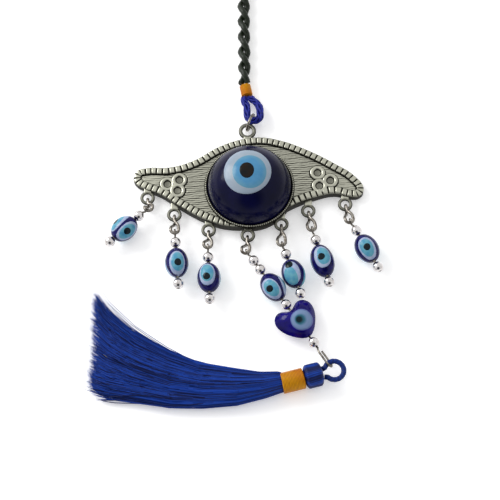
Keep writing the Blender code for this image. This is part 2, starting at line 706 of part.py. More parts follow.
# ---------------------------------------------------------------- assembly
build_eye_frame()
build_dome()
for number, dangle in DANGLES.items():
    if number != 4:
        build_dangle(number, dangle)
build_tassel(build_centre_dangle())
build_hanger()
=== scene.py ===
import json
import math

import bmesh
import bpy
import numpy as np
from mathutils import Matrix, Vector
from mathutils.bvhtree import BVHTree
from mathutils.kdtree import KDTree


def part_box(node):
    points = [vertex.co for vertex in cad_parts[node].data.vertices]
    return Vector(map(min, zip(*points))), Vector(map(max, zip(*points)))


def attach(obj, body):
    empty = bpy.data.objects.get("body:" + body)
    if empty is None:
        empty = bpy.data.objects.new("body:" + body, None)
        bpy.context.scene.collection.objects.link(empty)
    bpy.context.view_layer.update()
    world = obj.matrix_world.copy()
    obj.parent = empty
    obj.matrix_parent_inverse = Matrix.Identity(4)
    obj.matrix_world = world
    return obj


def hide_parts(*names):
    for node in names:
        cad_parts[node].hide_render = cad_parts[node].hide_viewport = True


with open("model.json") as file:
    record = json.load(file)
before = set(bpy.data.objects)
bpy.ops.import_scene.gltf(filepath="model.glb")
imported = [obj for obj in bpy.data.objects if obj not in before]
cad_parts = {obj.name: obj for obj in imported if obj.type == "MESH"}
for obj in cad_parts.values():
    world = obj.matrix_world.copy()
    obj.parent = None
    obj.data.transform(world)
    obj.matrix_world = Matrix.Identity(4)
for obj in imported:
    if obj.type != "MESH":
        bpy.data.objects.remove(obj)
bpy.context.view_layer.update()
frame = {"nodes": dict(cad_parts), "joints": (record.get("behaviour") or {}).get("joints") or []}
joints = {joint["name"]: joint for joint in frame["joints"]}
MM = 0.001


# ------------------------------------------------------------ camera, light and table
# The ornament lies face up on a white table inside a light tent, whose front is open to a
# darker room. The camera looks down on it from the tassel's end, leaning back a little.
CAMERA_LEAN = math.radians(22.0)
CAMERA_DISTANCE = 0.52
AIM = Vector((0.21, -24.3, 0.0)) * MM

camera = bpy.data.objects.new("camera", bpy.data.cameras.new("camera"))
camera.data.lens = 99.84
camera.location = AIM + CAMERA_DISTANCE * Vector((0.0, -math.sin(CAMERA_LEAN), math.cos(CAMERA_LEAN)))
camera.rotation_euler.x = CAMERA_LEAN
bpy.context.scene.collection.objects.link(camera)
bpy.context.scene.camera = camera
bpy.context.scene.view_settings.view_transform = "Standard"

tent = bpy.data.worlds.new("light_tent")
tent.use_nodes = True
bpy.context.scene.world = tent
tent_nodes = tent.node_tree.nodes
tent_links = tent.node_tree.links
towards = tent_nodes.new("ShaderNodeTexCoord").outputs["Generated"]
opening = tent_nodes.new("ShaderNodeVectorMath")
opening.operation = "DOT_PRODUCT"
opening.inputs[1].default_value = Vector((0.05, -0.72, 0.66)).normalized()
tent_links.new(towards, opening.inputs[0])
tent_edge = tent_nodes.new("ShaderNodeMapRange")
tent_edge.interpolation_type = "SMOOTHSTEP"
tent_edge.inputs["From Min"].default_value = math.cos(math.radians(40.0))
tent_edge.inputs["From Max"].default_value = math.cos(math.radians(12.0))
tent_links.new(opening.outputs["Value"], tent_edge.inputs["Value"])
tent_cloth = tent_nodes.new("ShaderNodeMix")
tent_cloth.data_type = "RGBA"
tent_cloth.inputs[6].default_value = (1.0, 1.0, 1.0, 1.0)
tent_cloth.inputs[7].default_value = (0.03, 0.03, 0.04, 1.0)
tent_links.new(tent_edge.outputs["Result"], tent_cloth.inputs[0])
tent_links.new(tent_cloth.outputs[2], tent_nodes["Background"].inputs["Color"])
tent_nodes["Background"].inputs["Strength"].default_value = 0.95

lamp_data = bpy.data.lights.new("soft_lamp", "AREA")
lamp_data.size = 0.45
lamp_data.energy = 5.0
lamp = bpy.data.objects.new("soft_lamp", lamp_data)
lamp.location = (-0.62, 0.36, 0.45)
lamp.rotation_euler = (-lamp.location).to_track_quat("-Z", "Y").to_euler()
bpy.context.scene.collection.objects.link(lamp)


class Finish:
    """A material being mixed: fixed numbers on its shader, and the nodes that vary the rest."""

    def __init__(self, name, numbers):
        self.material = bpy.data.materials.new(name)
        self.material.use_nodes = True
        self.nodes = self.material.node_tree.nodes
        self.shader = self.nodes["Principled BSDF"]
        for socket, value in numbers.items():
            self.shader.inputs[socket].default_value = value

    def feed(self, node, inputs):
        for socket, value in inputs.items():
            if isinstance(value, bpy.types.NodeSocket):
                self.material.node_tree.links.new(value, node.inputs[socket])
            else:
                node.inputs[socket].default_value = value

    def shade(self, inputs):
        self.feed(self.shader, inputs)

    def node(self, kind, inputs, output, **settings):
        made = self.nodes.new(kind)
        for name, value in settings.items():
            setattr(made, name, value)
        self.feed(made, inputs)
        return made.outputs[output]

    def place(self, stretch=(1.0, 1.0, 1.0)):
        """Where a point is on the piece in metres, stretched along each axis."""
        spot = self.node("ShaderNodeTexCoord", {}, "Object")
        return self.node("ShaderNodeMapping", {"Vector": spot, "Scale": stretch}, "Vector")

    def wound(self, along, around):
        """Where a point is on a wound or swept piece, counted along it and around it."""
        spot = self.node("ShaderNodeUVMap", {}, "UV", uv_map="UVMap")
        return self.node("ShaderNodeMapping", {"Vector": spot, "Scale": (along, around, 1.0)}, "Vector")

    def attribute(self, name):
        return self.node("ShaderNodeAttribute", {}, "Fac", attribute_name=name)

    def noise(self, spot, scale, detail=3.0):
        return self.node("ShaderNodeTexNoise", {"Vector": spot, "Scale": scale, "Detail": detail}, "Fac")

    def between(self, value, low, high, to_low=0.0, to_high=1.0):
        limits = {"Value": value, "From Min": low, "From Max": high, "To Min": to_low, "To Max": to_high}
        return self.node("ShaderNodeMapRange", limits, "Result")

    def sum(self, first, second, share=1.0):
        scaled = self.node("ShaderNodeMath", {0: second, 1: share}, 0, operation="MULTIPLY")
        return self.node("ShaderNodeMath", {0: first, 1: scaled}, 0, operation="ADD")

    def blend(self, share, first, second):
        colours = [value if isinstance(value, bpy.types.NodeSocket) else (*value, 1.0)
                   for value in (first, second)]
        return self.node("ShaderNodeMix", {0: share, 6: colours[0], 7: colours[1]}, 2, data_type="RGBA")

    def bump(self, height, depth, strength=1.0):
        inputs = {"Height": height, "Distance": depth, "Strength": strength}
        return self.node("ShaderNodeBump", inputs, "Normal")


def made_piece(name, shape, *finishes):
    """The bmesh, welded and facing outwards, as a smooth piece at the origin."""
    bmesh.ops.remove_doubles(shape, verts=shape.verts, dist=1e-6)
    bmesh.ops.recalc_face_normals(shape, faces=shape.faces)
    mesh = bpy.data.meshes.new(name)
    shape.to_mesh(mesh)
    shape.free()
    mesh.shade_smooth()
    for finish in finishes:
        mesh.materials.append(finish.material)
    piece = bpy.data.objects.new(name, mesh)
    bpy.context.scene.collection.objects.link(piece)
    return piece


paper = Finish("white_paper", {"Roughness": 0.9, "Specular IOR Level": 0.1, "Emission Strength": 0.3})
paper_tone = paper.noise(paper.place(), 30.0)
paper_white = paper.blend(paper_tone, (0.93, 0.93, 0.93), (0.96, 0.96, 0.96))
paper.shade({"Base Color": paper_white, "Emission Color": paper_white})
table_top = bmesh.new()
bmesh.ops.create_grid(table_top, x_segments=2, y_segments=2, size=1.6)
bmesh.ops.translate(table_top, vec=(0.0, 0.0, -0.2 * MM), verts=table_top.verts)
table = made_piece("table", table_top, paper)


# ------------------------------------------------------------ eye plate: toothed border
# The plate is one zinc casting, silvered, with dark patina in its hollows and painted shade on
# its walls. Its raised border is cut into square teeth all round, with a plain wall outside and a sunk field
# inside.
OUTLINE_MM = [
    (-44.1, 3.9), (-42.9, 7.0), (-39.5, 8.1), (-30.4, 8.2), (-22.0, 10.5), (-11.5, 16.6),
    (-4.0, 19.4), (4.0, 20.5), (12.0, 19.2), (20.3, 16.2), (32.9, 9.7), (40.2, 4.8),
    (43.4, -0.4), (41.9, -3.2), (38.3, -3.8), (32.6, -2.6), (26.3, -3.8), (13.7, -9.2),
    (7.4, -13.3), (0.0, -16.1), (-8.1, -16.3), (-14.3, -14.6), (-26.9, -7.7), (-33.2, -3.3),
    (-39.6, -0.5), (-42.9, 1.5),
]
HALF_SPAN = 43.8 * MM
TOOTH_PITCH = 2.25 * MM
TOOTH_STEPS = 14
GROOVE_HALF = 0.24 * MM
GROOVE_DEPTH = 0.45 * MM
FIELD_DEPTH = 0.8 * MM
CUP_RADIUS = 16.9 * MM
CUP_WALL_MIDDLE = 16.5 * MM
UNDER_BEZEL = 3.85 * MM
# The border's section: distance in from the edge, height, whether that height is counted
# from the crowned top or from the back, share of a groove's depth, and how dark it is painted, with patina
# and painted shade on the walls
BORDER_SECTION_MM = [
    (0.15, 0.0, "back", 0.0, 0.8), (0.0, 0.15, "back", 0.0, 0.8), (0.0, -1.3, "top", 0.0, 0.7),
    (0.0, -0.6, "top", 0.1, 0.55), (0.07, -0.22, "top", 0.6, 0.2), (0.3, -0.04, "top", 0.9, 0.0),
    (0.9, 0.02, "top", 1.0, 0.0), (1.5, 0.03, "top", 1.0, 0.0), (2.1, 0.02, "top", 1.0, 0.0),
    (2.45, -0.05, "top", 1.0, 0.1), (2.64, -0.2, "top", 0.8, 0.5), (2.7, -0.6, "top", 0.2, 0.9),
    (2.7, -2.0, "top", 0.0, 0.9), (1.6, -2.0, "top", 0.0, 0.9), (1.6, 0.15, "back", 0.0, 0.9),
    (1.45, 0.0, "back", 0.0, 0.9),
]


def crown_height(x):
    """Height of the border's top at a distance x from the middle."""
    return 3.2 * MM + 1.8 * MM * (1 - (x / HALF_SPAN) ** 2)


def equal_steps(points, count, closed=True):
    """So many points, equally spaced, along a line of points."""
    ends = np.vstack([points, points[:1]]) if closed else points
    reach = np.concatenate([[0.0], np.cumsum(np.linalg.norm(np.diff(ends, axis=0), axis=1))])
    wanted = np.linspace(0.0, reach[-1], count, endpoint=not closed)
    return np.stack([np.interp(wanted, reach, ends[:, axis]) for axis in range(ends.shape[1])], axis=1)


def plate_outline():
    """The plate's edge as closely spaced points, clockwise from the left tip."""
    curve = bpy.data.curves.new("outline", "CURVE")
    curve.dimensions = "3D"
    curve.resolution_u = 16
    spline = curve.splines.new("BEZIER")
    spline.bezier_points.add(len(OUTLINE_MM) - 1)
    for knot, (x, y) in zip(spline.bezier_points, OUTLINE_MM):
        knot.co = Vector((x, y, 0.0)) * MM
        knot.handle_left_type = "AUTO"
        knot.handle_right_type = "AUTO"
    spline.use_cyclic_u = True
    drawn = bpy.data.objects.new("outline", curve)
    bpy.context.scene.collection.objects.link(drawn)
    evaluated = drawn.evaluated_get(bpy.context.evaluated_depsgraph_get())
    points = np.array([vert.co[:2] for vert in evaluated.to_mesh().vertices])
    bpy.data.objects.remove(drawn)
    return points


def placed_grid(shape, along, around, place, depth=None):
    """A grid moved to place(u, v), where u and v are arrays of the shares along and around.
    depth(u, v), if it is given, fills the layer that sets how dark a point is painted, for patina, random
    tone and painted shade."""
    if not shape.loops.layers.uv:
        shape.loops.layers.uv.new("UVMap")
    layer = shape.verts.layers.float.get("depth") or shape.verts.layers.float.new("depth")
    verts = bmesh.ops.create_grid(shape, x_segments=along, y_segments=around, size=0.5,
                                  calc_uvs=True)["verts"]
    u, v = (np.array([vert.co[:2] for vert in verts]) + 0.5).T
    for vert, spot in zip(verts, place(u, v)):
        vert.co = spot
    if depth:
        for vert, value in zip(verts, depth(u, v)):
            vert[layer] = value
    return verts


edge = plate_outline()
perimeter = np.linalg.norm(np.diff(np.vstack([edge, edge[:1]]), axis=0), axis=1).sum()
teeth = round(perimeter / TOOTH_PITCH)
edge = equal_steps(edge, teeth * TOOTH_STEPS)
along_edge = np.roll(edge, -1, axis=0) - np.roll(edge, 1, axis=0)
inward = np.stack([along_edge[:, 1], -along_edge[:, 0]], axis=1)
inward /= np.linalg.norm(inward, axis=1)[:, None]

# The depth layer darkens the silver to near black: patina in the grooves and strokes, and painted shade on
# the walls and in the dark lines beside them.
silver = Finish("patina_and_painted_shade_silver", {"Metallic": 1.0, "Specular IOR Level": 0.5})
silver_grain = silver.noise(silver.place(), 1800.0, 4.0)
silver_cloud = silver.noise(silver.place(), 160.0, 2.0)
silver_patina_and_shade = silver.sum(silver.attribute("depth"), silver.sum(silver_grain, silver_cloud, 0.5), 0.22)
silver_dark = silver.between(silver_patina_and_shade, 0.22, 0.85)
silver_tone = silver.blend(silver_cloud, (0.52, 0.52, 0.43), (0.41, 0.41, 0.34))
silver.shade({
    "Base Color": silver.blend(silver_dark, silver_tone, (0.022, 0.021, 0.016)),
    "Roughness": silver.between(silver_dark, 0.0, 1.0, 0.34, 0.62),
    "Normal": silver.bump(silver_grain, 0.06 * MM, 0.5),
})


def build_border():
    """The border's section swept round the edge, with a groove between each two teeth."""
    steps = len(edge)
    sides = len(BORDER_SECTION_MM)
    from_groove = np.abs((np.arange(steps) + TOOTH_STEPS / 2) % TOOTH_STEPS - TOOTH_STEPS / 2)
    groove = np.clip(1.6 - from_groove * TOOTH_PITCH / TOOTH_STEPS / GROOVE_HALF, 0.0, 1.0)
    places = np.zeros((steps, sides, 3))
    patina_and_shade_level = np.zeros((steps, sides))
    for side, (across, height, base, cut, dark) in enumerate(BORDER_SECTION_MM):
        places[:, side, :2] = edge + inward * across * MM
        crown = crown_height(places[:, side, 0]) if base == "top" else 0.0
        places[:, side, 2] = crown + height * MM - groove * cut * GROOVE_DEPTH
        patina_and_shade_level[:, side] = np.maximum(dark, groove * min(1.0, 1.1 * cut))
    radius = np.linalg.norm(places[:, :, :2], axis=2)
    push = np.maximum(1.0, CUP_WALL_MIDDLE / radius)
    places[:, :, :2] *= push[:, :, None]
    beside_cup = radius < CUP_RADIUS + 0.2 * MM
    places[:, :, 2][beside_cup] = np.minimum(places[:, :, 2][beside_cup], UNDER_BEZEL)

    def index(u, v):
        return np.rint(u * steps).astype(int) % steps, np.rint(v * sides).astype(int) % sides

    shape = bmesh.new()
    placed_grid(shape, steps, sides, lambda u, v: places[index(u, v)], lambda u, v: patina_and_shade_level[index(u, v)])
    return made_piece("toothed_border", shape, silver)


border = build_border()
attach(border, "eye_plate")
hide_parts("eye_frame")


# ------------------------------------------------------------ eye plate: engraved field
# The sunk field is cast with long wavy strokes that run across the eye and die out at the
# border. Beside the border's wall and round each little ring the field dips a little and is painted dark as
# shade.
STROKE_PITCH = 0.80 * MM
STROKE_DEPTH = 0.16 * MM
FIELD_WALL = 1.0 * MM
TUCKED_UNDER_BORDER = 2.35 * MM
BORDER_WALL = 2.7 * MM
TUCKED_UNDER_BEZEL = 16.45 * MM
TREFOILS_MM = [
    (-31.1, 1.2), (-26.6, 2.8), (-27.2, -1.6),
    (25.9, 5.8), (30.7, 2.7), (26.5, 0.4),
]
TREFOIL_RADIUS = 2.9 * MM


def smooth_step(value, low, high):
    share = np.clip((value - low) / (high - low), 0.0, 1.0)
    return share * share * (3 - 2 * share)


def stroke_depth(x, y):
    """How deep in a stroke a point of the field is, from 0 to 1, at x and y in millimetres."""
    lean = 0.0026 * y * np.abs(y) * np.where(y > 0, np.abs(x) / 24.0, np.abs(x) / 40.0)
    wave = 0.24 * np.sin(0.34 * x + 0.55 * y) + 0.09 * np.sin(0.95 * x - 1.1 * y + 1.3)
    wave += 0.04 * np.sin(2.3 * x + 2.9 * y)
    phase = (y + lean + wave) * MM / STROKE_PITCH
    fullness = 0.74 + 0.26 * np.sin(0.55 * x + 4.1 * np.floor(phase + 0.5))
    faint = 0.6 + 0.4 * smooth_step(-np.abs(x - 1.0), -38.0, -22.0)
    return smooth_step(np.cos(2 * np.pi * phase), 0.05, 0.9) * fullness * faint


def build_field():
    """A fine grid over the whole eye, drawn in to the border's wall and the dome's edge."""
    tree = KDTree(len(edge))
    for i, (x, y) in enumerate(edge):
        tree.insert((x, y, 0.0), i)
    tree.balance()
    low, high = edge.min(axis=0), edge.max(axis=0)
    hidden = []
    dark = []

    def place(u, v):
        flat = low + np.stack([u, v], axis=1) * (high - low)
        nearest = np.array([tree.find((x, y, 0.0))[1] for x, y in flat])
        inside = ((flat - edge[nearest]) * inward[nearest]).sum(axis=1)
        outer = inside < TUCKED_UNDER_BORDER
        flat[outer] = (edge[nearest] + inward[nearest] * TUCKED_UNDER_BORDER)[outer]
        radius = np.linalg.norm(flat, axis=1)
        inner = radius < TUCKED_UNDER_BEZEL
        flat[inner] *= (TUCKED_UNDER_BEZEL / np.maximum(radius[inner], 1e-5))[:, None]
        hidden.extend(outer | inner)
        patina_and_shade_level = stroke_depth(flat[:, 0] / MM, flat[:, 1] / MM)
        # Painted shade beside the border's wall and round each ring, where the field also dips a little
        moat = 1 - smooth_step(inside - BORDER_WALL, 0.12 * MM, 0.42 * MM)
        for x, y in TREFOILS_MM:
            away = np.linalg.norm(flat - np.array((x, y)) * MM, axis=1)
            moat = np.maximum(moat, 1 - smooth_step(away - TREFOIL_RADIUS, 0.1 * MM, 0.4 * MM))
        patina_and_shade_level = np.maximum(patina_and_shade_level, moat)
        dark.extend(patina_and_shade_level)
        height = crown_height(flat[:, 0]) - FIELD_DEPTH - STROKE_DEPTH * patina_and_shade_level
        return np.column_stack([flat, height])

    shape = bmesh.new()
    verts = placed_grid(shape, 180, 260, place, lambda u, v: dark)
    tucked = {vert for vert, gone in zip(verts, hidden) if gone}
    spare = [face for face in shape.faces if all(vert in tucked for vert in face.verts)]
    bmesh.ops.delete(shape, geom=spare, context="FACES")
    return made_piece("engraved_field", shape, silver)


field = build_field()
if field.data.polygons[0].normal.z < 0:
    field.data.flip_normals()
field_wall = field.modifiers.new("wall", "SOLIDIFY")
field_wall.thickness = FIELD_WALL
field_wall.offset = -1.0
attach(field, "eye_plate")


# ------------------------------------------------------------ eye plate: rings, cup and lugs
# Three little dished rings stand on each wing of the casting, a cup in its middle holds the
# dome, and flat ears with a hole are cast along its lower edge and at its top.
LUGS = {number: Vector(joints[f"link_{number}_swing"]["pos_m"]) for number in range(1, 8)}
TOP_LUG = Vector(joints["top_ring_swing"]["pos_m"])
LUG_SECTION_MM = [(1.6, 0.25), (1.75, 0.5), (2.15, 0.6), (2.5, 0.5), (2.75, 0.25)]
TREFOIL_SECTION_MM = [(0.0, -0.62), (1.1, -0.62), (1.4, -0.52), (1.5, -0.3), (1.62, -0.06),
                      (1.95, 0.08), (2.45, 0.08), (2.78, -0.04), (2.92, -0.3), (2.97, -1.1), (0.0, -1.1)]
CUP_SECTION_MM = [(0.0, 0.0), (16.6, 0.0), (16.9, 0.3), (16.9, 3.8), (16.8, 3.9), (16.2, 3.9),
                  (16.1, 3.8), (16.1, 1.2), (0.0, 1.2)]
TOP_LUG_SIZE = 3.4 / 2.8
NECK_SIZE = Vector((2.8, 2.9, 1.1)) * MM
NECK_START = 1.75 * MM
NECK_REACH = 1.6 * MM
NECK_EDGE = 0.25 * MM


def turned(shape, section_mm, steps, centre, axis=(0.0, 0.0, 1.0), patina_and_shade_level=None):
    """A section of (radius, height) pairs in millimetres, spun about an axis through centre.
    A section that doesn't start and end on the axis is closed by its last point."""
    layer = shape.verts.layers.float.get("depth") or shape.verts.layers.float.new("depth")
    ring = []
    turn = Vector((0.0, 0.0, 1.0)).rotation_difference(Vector(axis)).to_matrix()
    for radius, height in section_mm:
        vert = shape.verts.new(Vector(centre) + turn @ Vector((radius, 0.0, height)) * MM)
        vert[layer] = patina_and_shade_level(radius, height) if patina_and_shade_level else 0.0
        ring.append(vert)
    lines = [shape.edges.new(pair) for pair in zip(ring, ring[1:])]
    if section_mm[0][0] > 0:
        lines.append(shape.edges.new((ring[-1], ring[0])))
    bmesh.ops.spin(shape, geom=ring + lines, cent=centre, axis=axis, angle=2 * math.pi,
                   steps=steps, use_merge=True)


def build_castings():
    shape = bmesh.new()
    for x, y in TREFOILS_MM:
        top = crown_height(x * MM) - 0.15 * MM
        # Each ring's dish is dark with patina; its outer wall is painted dark as shade.
        turned(shape, TREFOIL_SECTION_MM, 40, (x * MM, y * MM, top),
               patina_and_shade_level=lambda radius, height: 0.9 if height < -0.25 and radius > 1.3 else 0.45 * (radius < 1.3))
    turned(shape, CUP_SECTION_MM, 120, (0.0, 0.0, 0.0), patina_and_shade_level=lambda radius, height: 0.8)
    rounded = LUG_SECTION_MM + [(radius, -height) for radius, height in reversed(LUG_SECTION_MM)]
    ears = [(place, 1.0) for place in LUGS.values()] + [(TOP_LUG, TOP_LUG_SIZE)]
    for place, size in ears:
        section = [(radius * size, height) for radius, height in rounded]
        turned(shape, section, 32, place, patina_and_shade_level=lambda radius, height: 0.45 + 0.4 * (abs(height) < 0.3))
        side = -1.0 if place.y > 0 else 1.0
        neck = bmesh.ops.create_cube(shape, size=1.0)["verts"]
        to_plate = Vector((0.0, side * (NECK_START * size + NECK_REACH), 0.0))
        bmesh.ops.scale(shape, vec=NECK_SIZE, verts=neck)
        bmesh.ops.translate(shape, vec=place + to_plate, verts=neck)
        edges = list({line for vert in neck for line in vert.link_edges})
        bmesh.ops.bevel(shape, geom=edges, offset=NECK_EDGE, segments=3, profile=0.5,
                        affect="EDGES", material=-1)
    return made_piece("cast_rings_cup_and_lugs", shape, silver)


castings = build_castings()
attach(castings, "eye_plate")


# ------------------------------------------------------------ beaded bezel
# A thin rolled edge set with tiny beads holds the dome in its cup. It is pressed from
# silvered wire, dark between the beads.
BEZEL_SECTION_MM = [(16.0, 3.9), (16.0, 4.5), (16.12, 4.62), (16.5, 4.62), (17.0, 4.4), (17.12, 4.2),
                    (17.12, 3.9)]
BEZEL_BEADS = 128
BEZEL_BEAD_RADIUS = 0.36 * MM
BEZEL_BEAD_CIRCLE = 16.55 * MM
BEZEL_BEAD_HEIGHT = 4.72 * MM


def build_bezel():
    shape = bmesh.new()
    turned(shape, BEZEL_SECTION_MM, 128, (0.0, 0.0, 0.0), patina_and_shade_level=lambda radius, height: 0.85)
    for i in range(BEZEL_BEADS):
        angle = 2 * math.pi * i / BEZEL_BEADS
        across = BEZEL_BEAD_CIRCLE * Vector((math.cos(angle), math.sin(angle), 0.0))
        place = across + Vector((0.0, 0.0, BEZEL_BEAD_HEIGHT))
        bmesh.ops.create_uvsphere(shape, u_segments=8, v_segments=5, radius=BEZEL_BEAD_RADIUS,
                                  matrix=Matrix.Translation(place))
    return made_piece("beaded_bezel", shape, silver)


bezel = build_bezel()
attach(bezel, "eye_plate")
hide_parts("bezel_ring")


# ------------------------------------------------------------ glass dome
# The eyeball is one pressed dome of deep navy glass, fire-polished and faintly uneven, that
# drops into the cup. Clouds of lighter blue float in it.
DOME_RADIUS = 15.8 * MM
DOME_SHOULDER = 4.5 * MM
DOME_RISE = 13.5 * MM
DOME_STEPS = 30
NAVY_DEEP = (0.0015, 0.0018, 0.014)
NAVY_CLOUD = (0.0035, 0.0038, 0.034)

navy = Finish("navy_glass", {"Specular IOR Level": 0.10})
navy_cloud = navy.noise(navy.place(), 110.0, 4.0)
navy.shade({
    "Base Color": navy.blend(navy.between(navy_cloud, 0.3, 0.7), NAVY_DEEP, NAVY_CLOUD),
    "Roughness": navy.between(navy.noise(navy.place(), 500.0), 0.3, 0.7, 0.13, 0.24),
    "Normal": navy.bump(navy.noise(navy.place(), 60.0, 1.0), 0.5 * MM, 0.25),
})


def dome_height(radius):
    """Height of the dome's surface at distances from its axis."""
    return DOME_SHOULDER + DOME_RISE * np.sqrt(np.maximum(0.0, 1 - (radius / DOME_RADIUS) ** 2))


def build_dome():
    turns = [math.pi / 2 * step / DOME_STEPS for step in range(DOME_STEPS + 1)]
    section = [(DOME_RADIUS / MM * math.sin(turn), (DOME_SHOULDER + DOME_RISE * math.cos(turn)) / MM)
               for turn in turns]
    section += [(15.8, 1.8), (15.5, 1.5), (0.0, 1.5)]
    shape = bmesh.new()
    turned(shape, section, 96, (0.0, 0.0, 0.0))
    return made_piece("navy_dome", shape, navy)


dome = build_dome()
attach(dome, "eye_plate")
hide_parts("glass_dome")


# ------------------------------------------------------------ fused discs of the eye
# White, sky-blue and black glass is dropped on the hot dome one gather on another, so each
# disc lies a little off the one below, with a soft rim.
DISCS = {
    "white_disc": dict(stands_for="dome_white", slot="white_glass",
                       centre=(-0.75, 0.75), radii=(8.75, 9.3), proud=0.12),
    "sky_disc": dict(stands_for="dome_iris", slot="sky_glass",
                     centre=(0.0, 0.25), radii=(6.6, 7.2), proud=0.24),
    "pupil_disc": dict(stands_for="dome_pupil", slot="black_glass",
                       centre=(-0.95, 0.35), radii=(3.1, 3.7), proud=0.36),
}
DISC_SINK = 0.5 * MM
DISC_ROLL = 0.9


def glass(name, heart, rim, cloudy, specular=0.2):
    """Soft opaque glass whose colour runs from its heart to its rim, along the disc's radius."""
    made = Finish(name, {"Roughness": 0.2, "Specular IOR Level": specular})
    radial = made.node("ShaderNodeSeparateXYZ", {"Vector": made.wound(1.0, 1.0)}, "X")
    cloud = made.noise(made.place(), 420.0, 3.0)
    share = made.between(made.sum(radial, cloud, 0.3), 0.75, 1.1)
    mottled = made.blend(made.between(cloud, 0.35, 0.65), heart, cloudy)
    made.shade({"Base Color": made.blend(share, mottled, rim),
                "Normal": made.bump(made.noise(made.place(), 700.0), 0.05 * MM, 0.35)})
    return made


disc_glass = {
    "white_disc": glass("white_glass", (0.28, 0.33, 0.39), (0.25, 0.31, 0.39), (0.25, 0.31, 0.36)),
    "sky_disc": glass("sky_glass", (0.055, 0.21, 0.38), (0.11, 0.26, 0.34), (0.068, 0.23, 0.41)),
    "pupil_disc": glass("black_glass", (0.016, 0.011, 0.008), (0.002, 0.007, 0.012), (0.008, 0.010, 0.011),
                        specular=0.08),
}


def close_rims(shape):
    """Caps welded at their middles, and filled in behind their rims."""
    bmesh.ops.remove_doubles(shape, verts=shape.verts, dist=1e-6)
    bmesh.ops.holes_fill(shape, edges=[line for line in shape.edges if line.is_boundary], sides=0)


def build_disc(name, disc, seed):
    """A thin cap that follows the dome, its rim rolled under the dome's surface."""
    centre = np.array(disc["centre"]) * MM
    wide, tall = disc["radii"]

    def place(u, v):
        turn = 2 * np.pi * v
        share = np.minimum(u / DISC_ROLL, 1.0)
        reach = share * MM * (1 + 0.010 * np.sin(2 * turn + seed) + 0.008 * np.sin(3 * turn + 2.1 * seed))
        flat = centre + reach[:, None] * np.stack([wide * np.cos(turn), tall * np.sin(turn)], axis=1)
        height = dome_height(np.linalg.norm(flat, axis=1)) + disc["proud"] * MM * np.sqrt(1 - share ** 4)
        sunk = np.clip((u - DISC_ROLL) / (1 - DISC_ROLL), 0.0, 1.0) * DISC_SINK
        return np.column_stack([flat, height - sunk])

    shape = bmesh.new()
    placed_grid(shape, 20, 72, place)
    close_rims(shape)
    return made_piece(name, shape, disc_glass[name])


for seed, (name, disc) in enumerate(DISCS.items()):
    piece = build_disc(name, disc, seed + 1)
    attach(piece, "eye_plate")
    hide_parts(disc["stands_for"])


# ------------------------------------------------------------ links
# Each dangle hangs from a lug by one soldered oval link of silvered wire, given a quarter
# twist so that it stands upright in the lug and lies flat below.
LINK_WIRE = 0.6 * MM
LINK_START = 0.6
LINK_HALF_WIDTH = 1.5
LINK_TWIST_START = 2.8
LUG_Z = 2.2
PIN_Z = 4.35
# Each link's length, and its turn from straight down in degrees
LINKS = {
    1: (6.2, 8.0), 2: (8.4, 3.0), 3: (8.0, -2.0), 4: (8.2, -7.0),
    5: (9.6, -0.5), 6: (9.0, 8.0), 7: (8.6, 10.5),
}


def smooth_route(points, steps, closed=False):
    """Points on one smooth curve through the given ones, with so many steps a span."""
    points = [Vector(point) for point in points]
    count = len(points)
    route = []
    for i in range(count if closed else count - 1):
        near = [points[(i + k) % count] if closed else points[min(max(i + k, 0), count - 1)]
                for k in (-1, 0, 1, 2)]
        for step in range(steps):
            t = step / steps
            route.append(0.5 * (2 * near[1] + (near[2] - near[0]) * t
                                + (2 * near[0] - 5 * near[1] + 4 * near[2] - near[3]) * t * t
                                + (3 * near[1] - near[0] - 3 * near[2] + near[3]) * t ** 3))
    return route if closed else route + [points[-1]]


def tube(shape, route, radius, around=12, closed=False, depth=None):
    """A round wire or thread along a route in metres. radius is a number, or a function of
    the share along the route and the angle around it."""
    centre = np.array([tuple(point) for point in route])
    ahead = np.roll(centre, -1, axis=0) - np.roll(centre, 1, axis=0)
    if not closed:
        ahead[0], ahead[-1] = centre[1] - centre[0], centre[-1] - centre[-2]
    ahead /= np.linalg.norm(ahead, axis=1)[:, None]
    side = np.zeros_like(centre)
    guide = np.array((0.0, 0.0, 1.0)) if abs(ahead[0][2]) < 0.9 else np.array((1.0, 0.0, 0.0))
    for i, way in enumerate(ahead):
        guide = guide - way * guide.dot(way)
        guide /= np.linalg.norm(guide)
        side[i] = guide
    rise = np.cross(ahead, side)
    spare_twist = math.atan2(np.dot(side[-1], rise[0]), np.dot(side[-1], side[0])) if closed else 0.0
    count = len(centre)
    rings = count if closed else count + 1

    def place(u, v):
        ring = np.rint(u * rings).astype(int)
        i = ring % count if closed else np.clip(ring - 1, 0, count - 1)
        share = i / count
        angle = 2 * np.pi * v - (spare_twist * share if closed else 0.0)
        reach = radius(share, angle) if callable(radius) else np.full(len(u), radius)
        if not closed:
            reach = np.where((ring == 0) | (ring == rings), 0.0, reach)
        out = np.cos(angle)[:, None] * side[i] + np.sin(angle)[:, None] * rise[i]
        return centre[i] + reach[:, None] * out

    placed_grid(shape, rings, around, place, depth)


def laid(points, origin, direction):
    """Points in millimetres, given along, across and up, laid from an origin as an array."""
    ahead = np.array(direction)
    across = np.cross((0.0, 0.0, 1.0), ahead)
    return np.array(origin) + MM * (np.array(points) @ np.stack([ahead, across, (0.0, 0.0, 1.0)]))


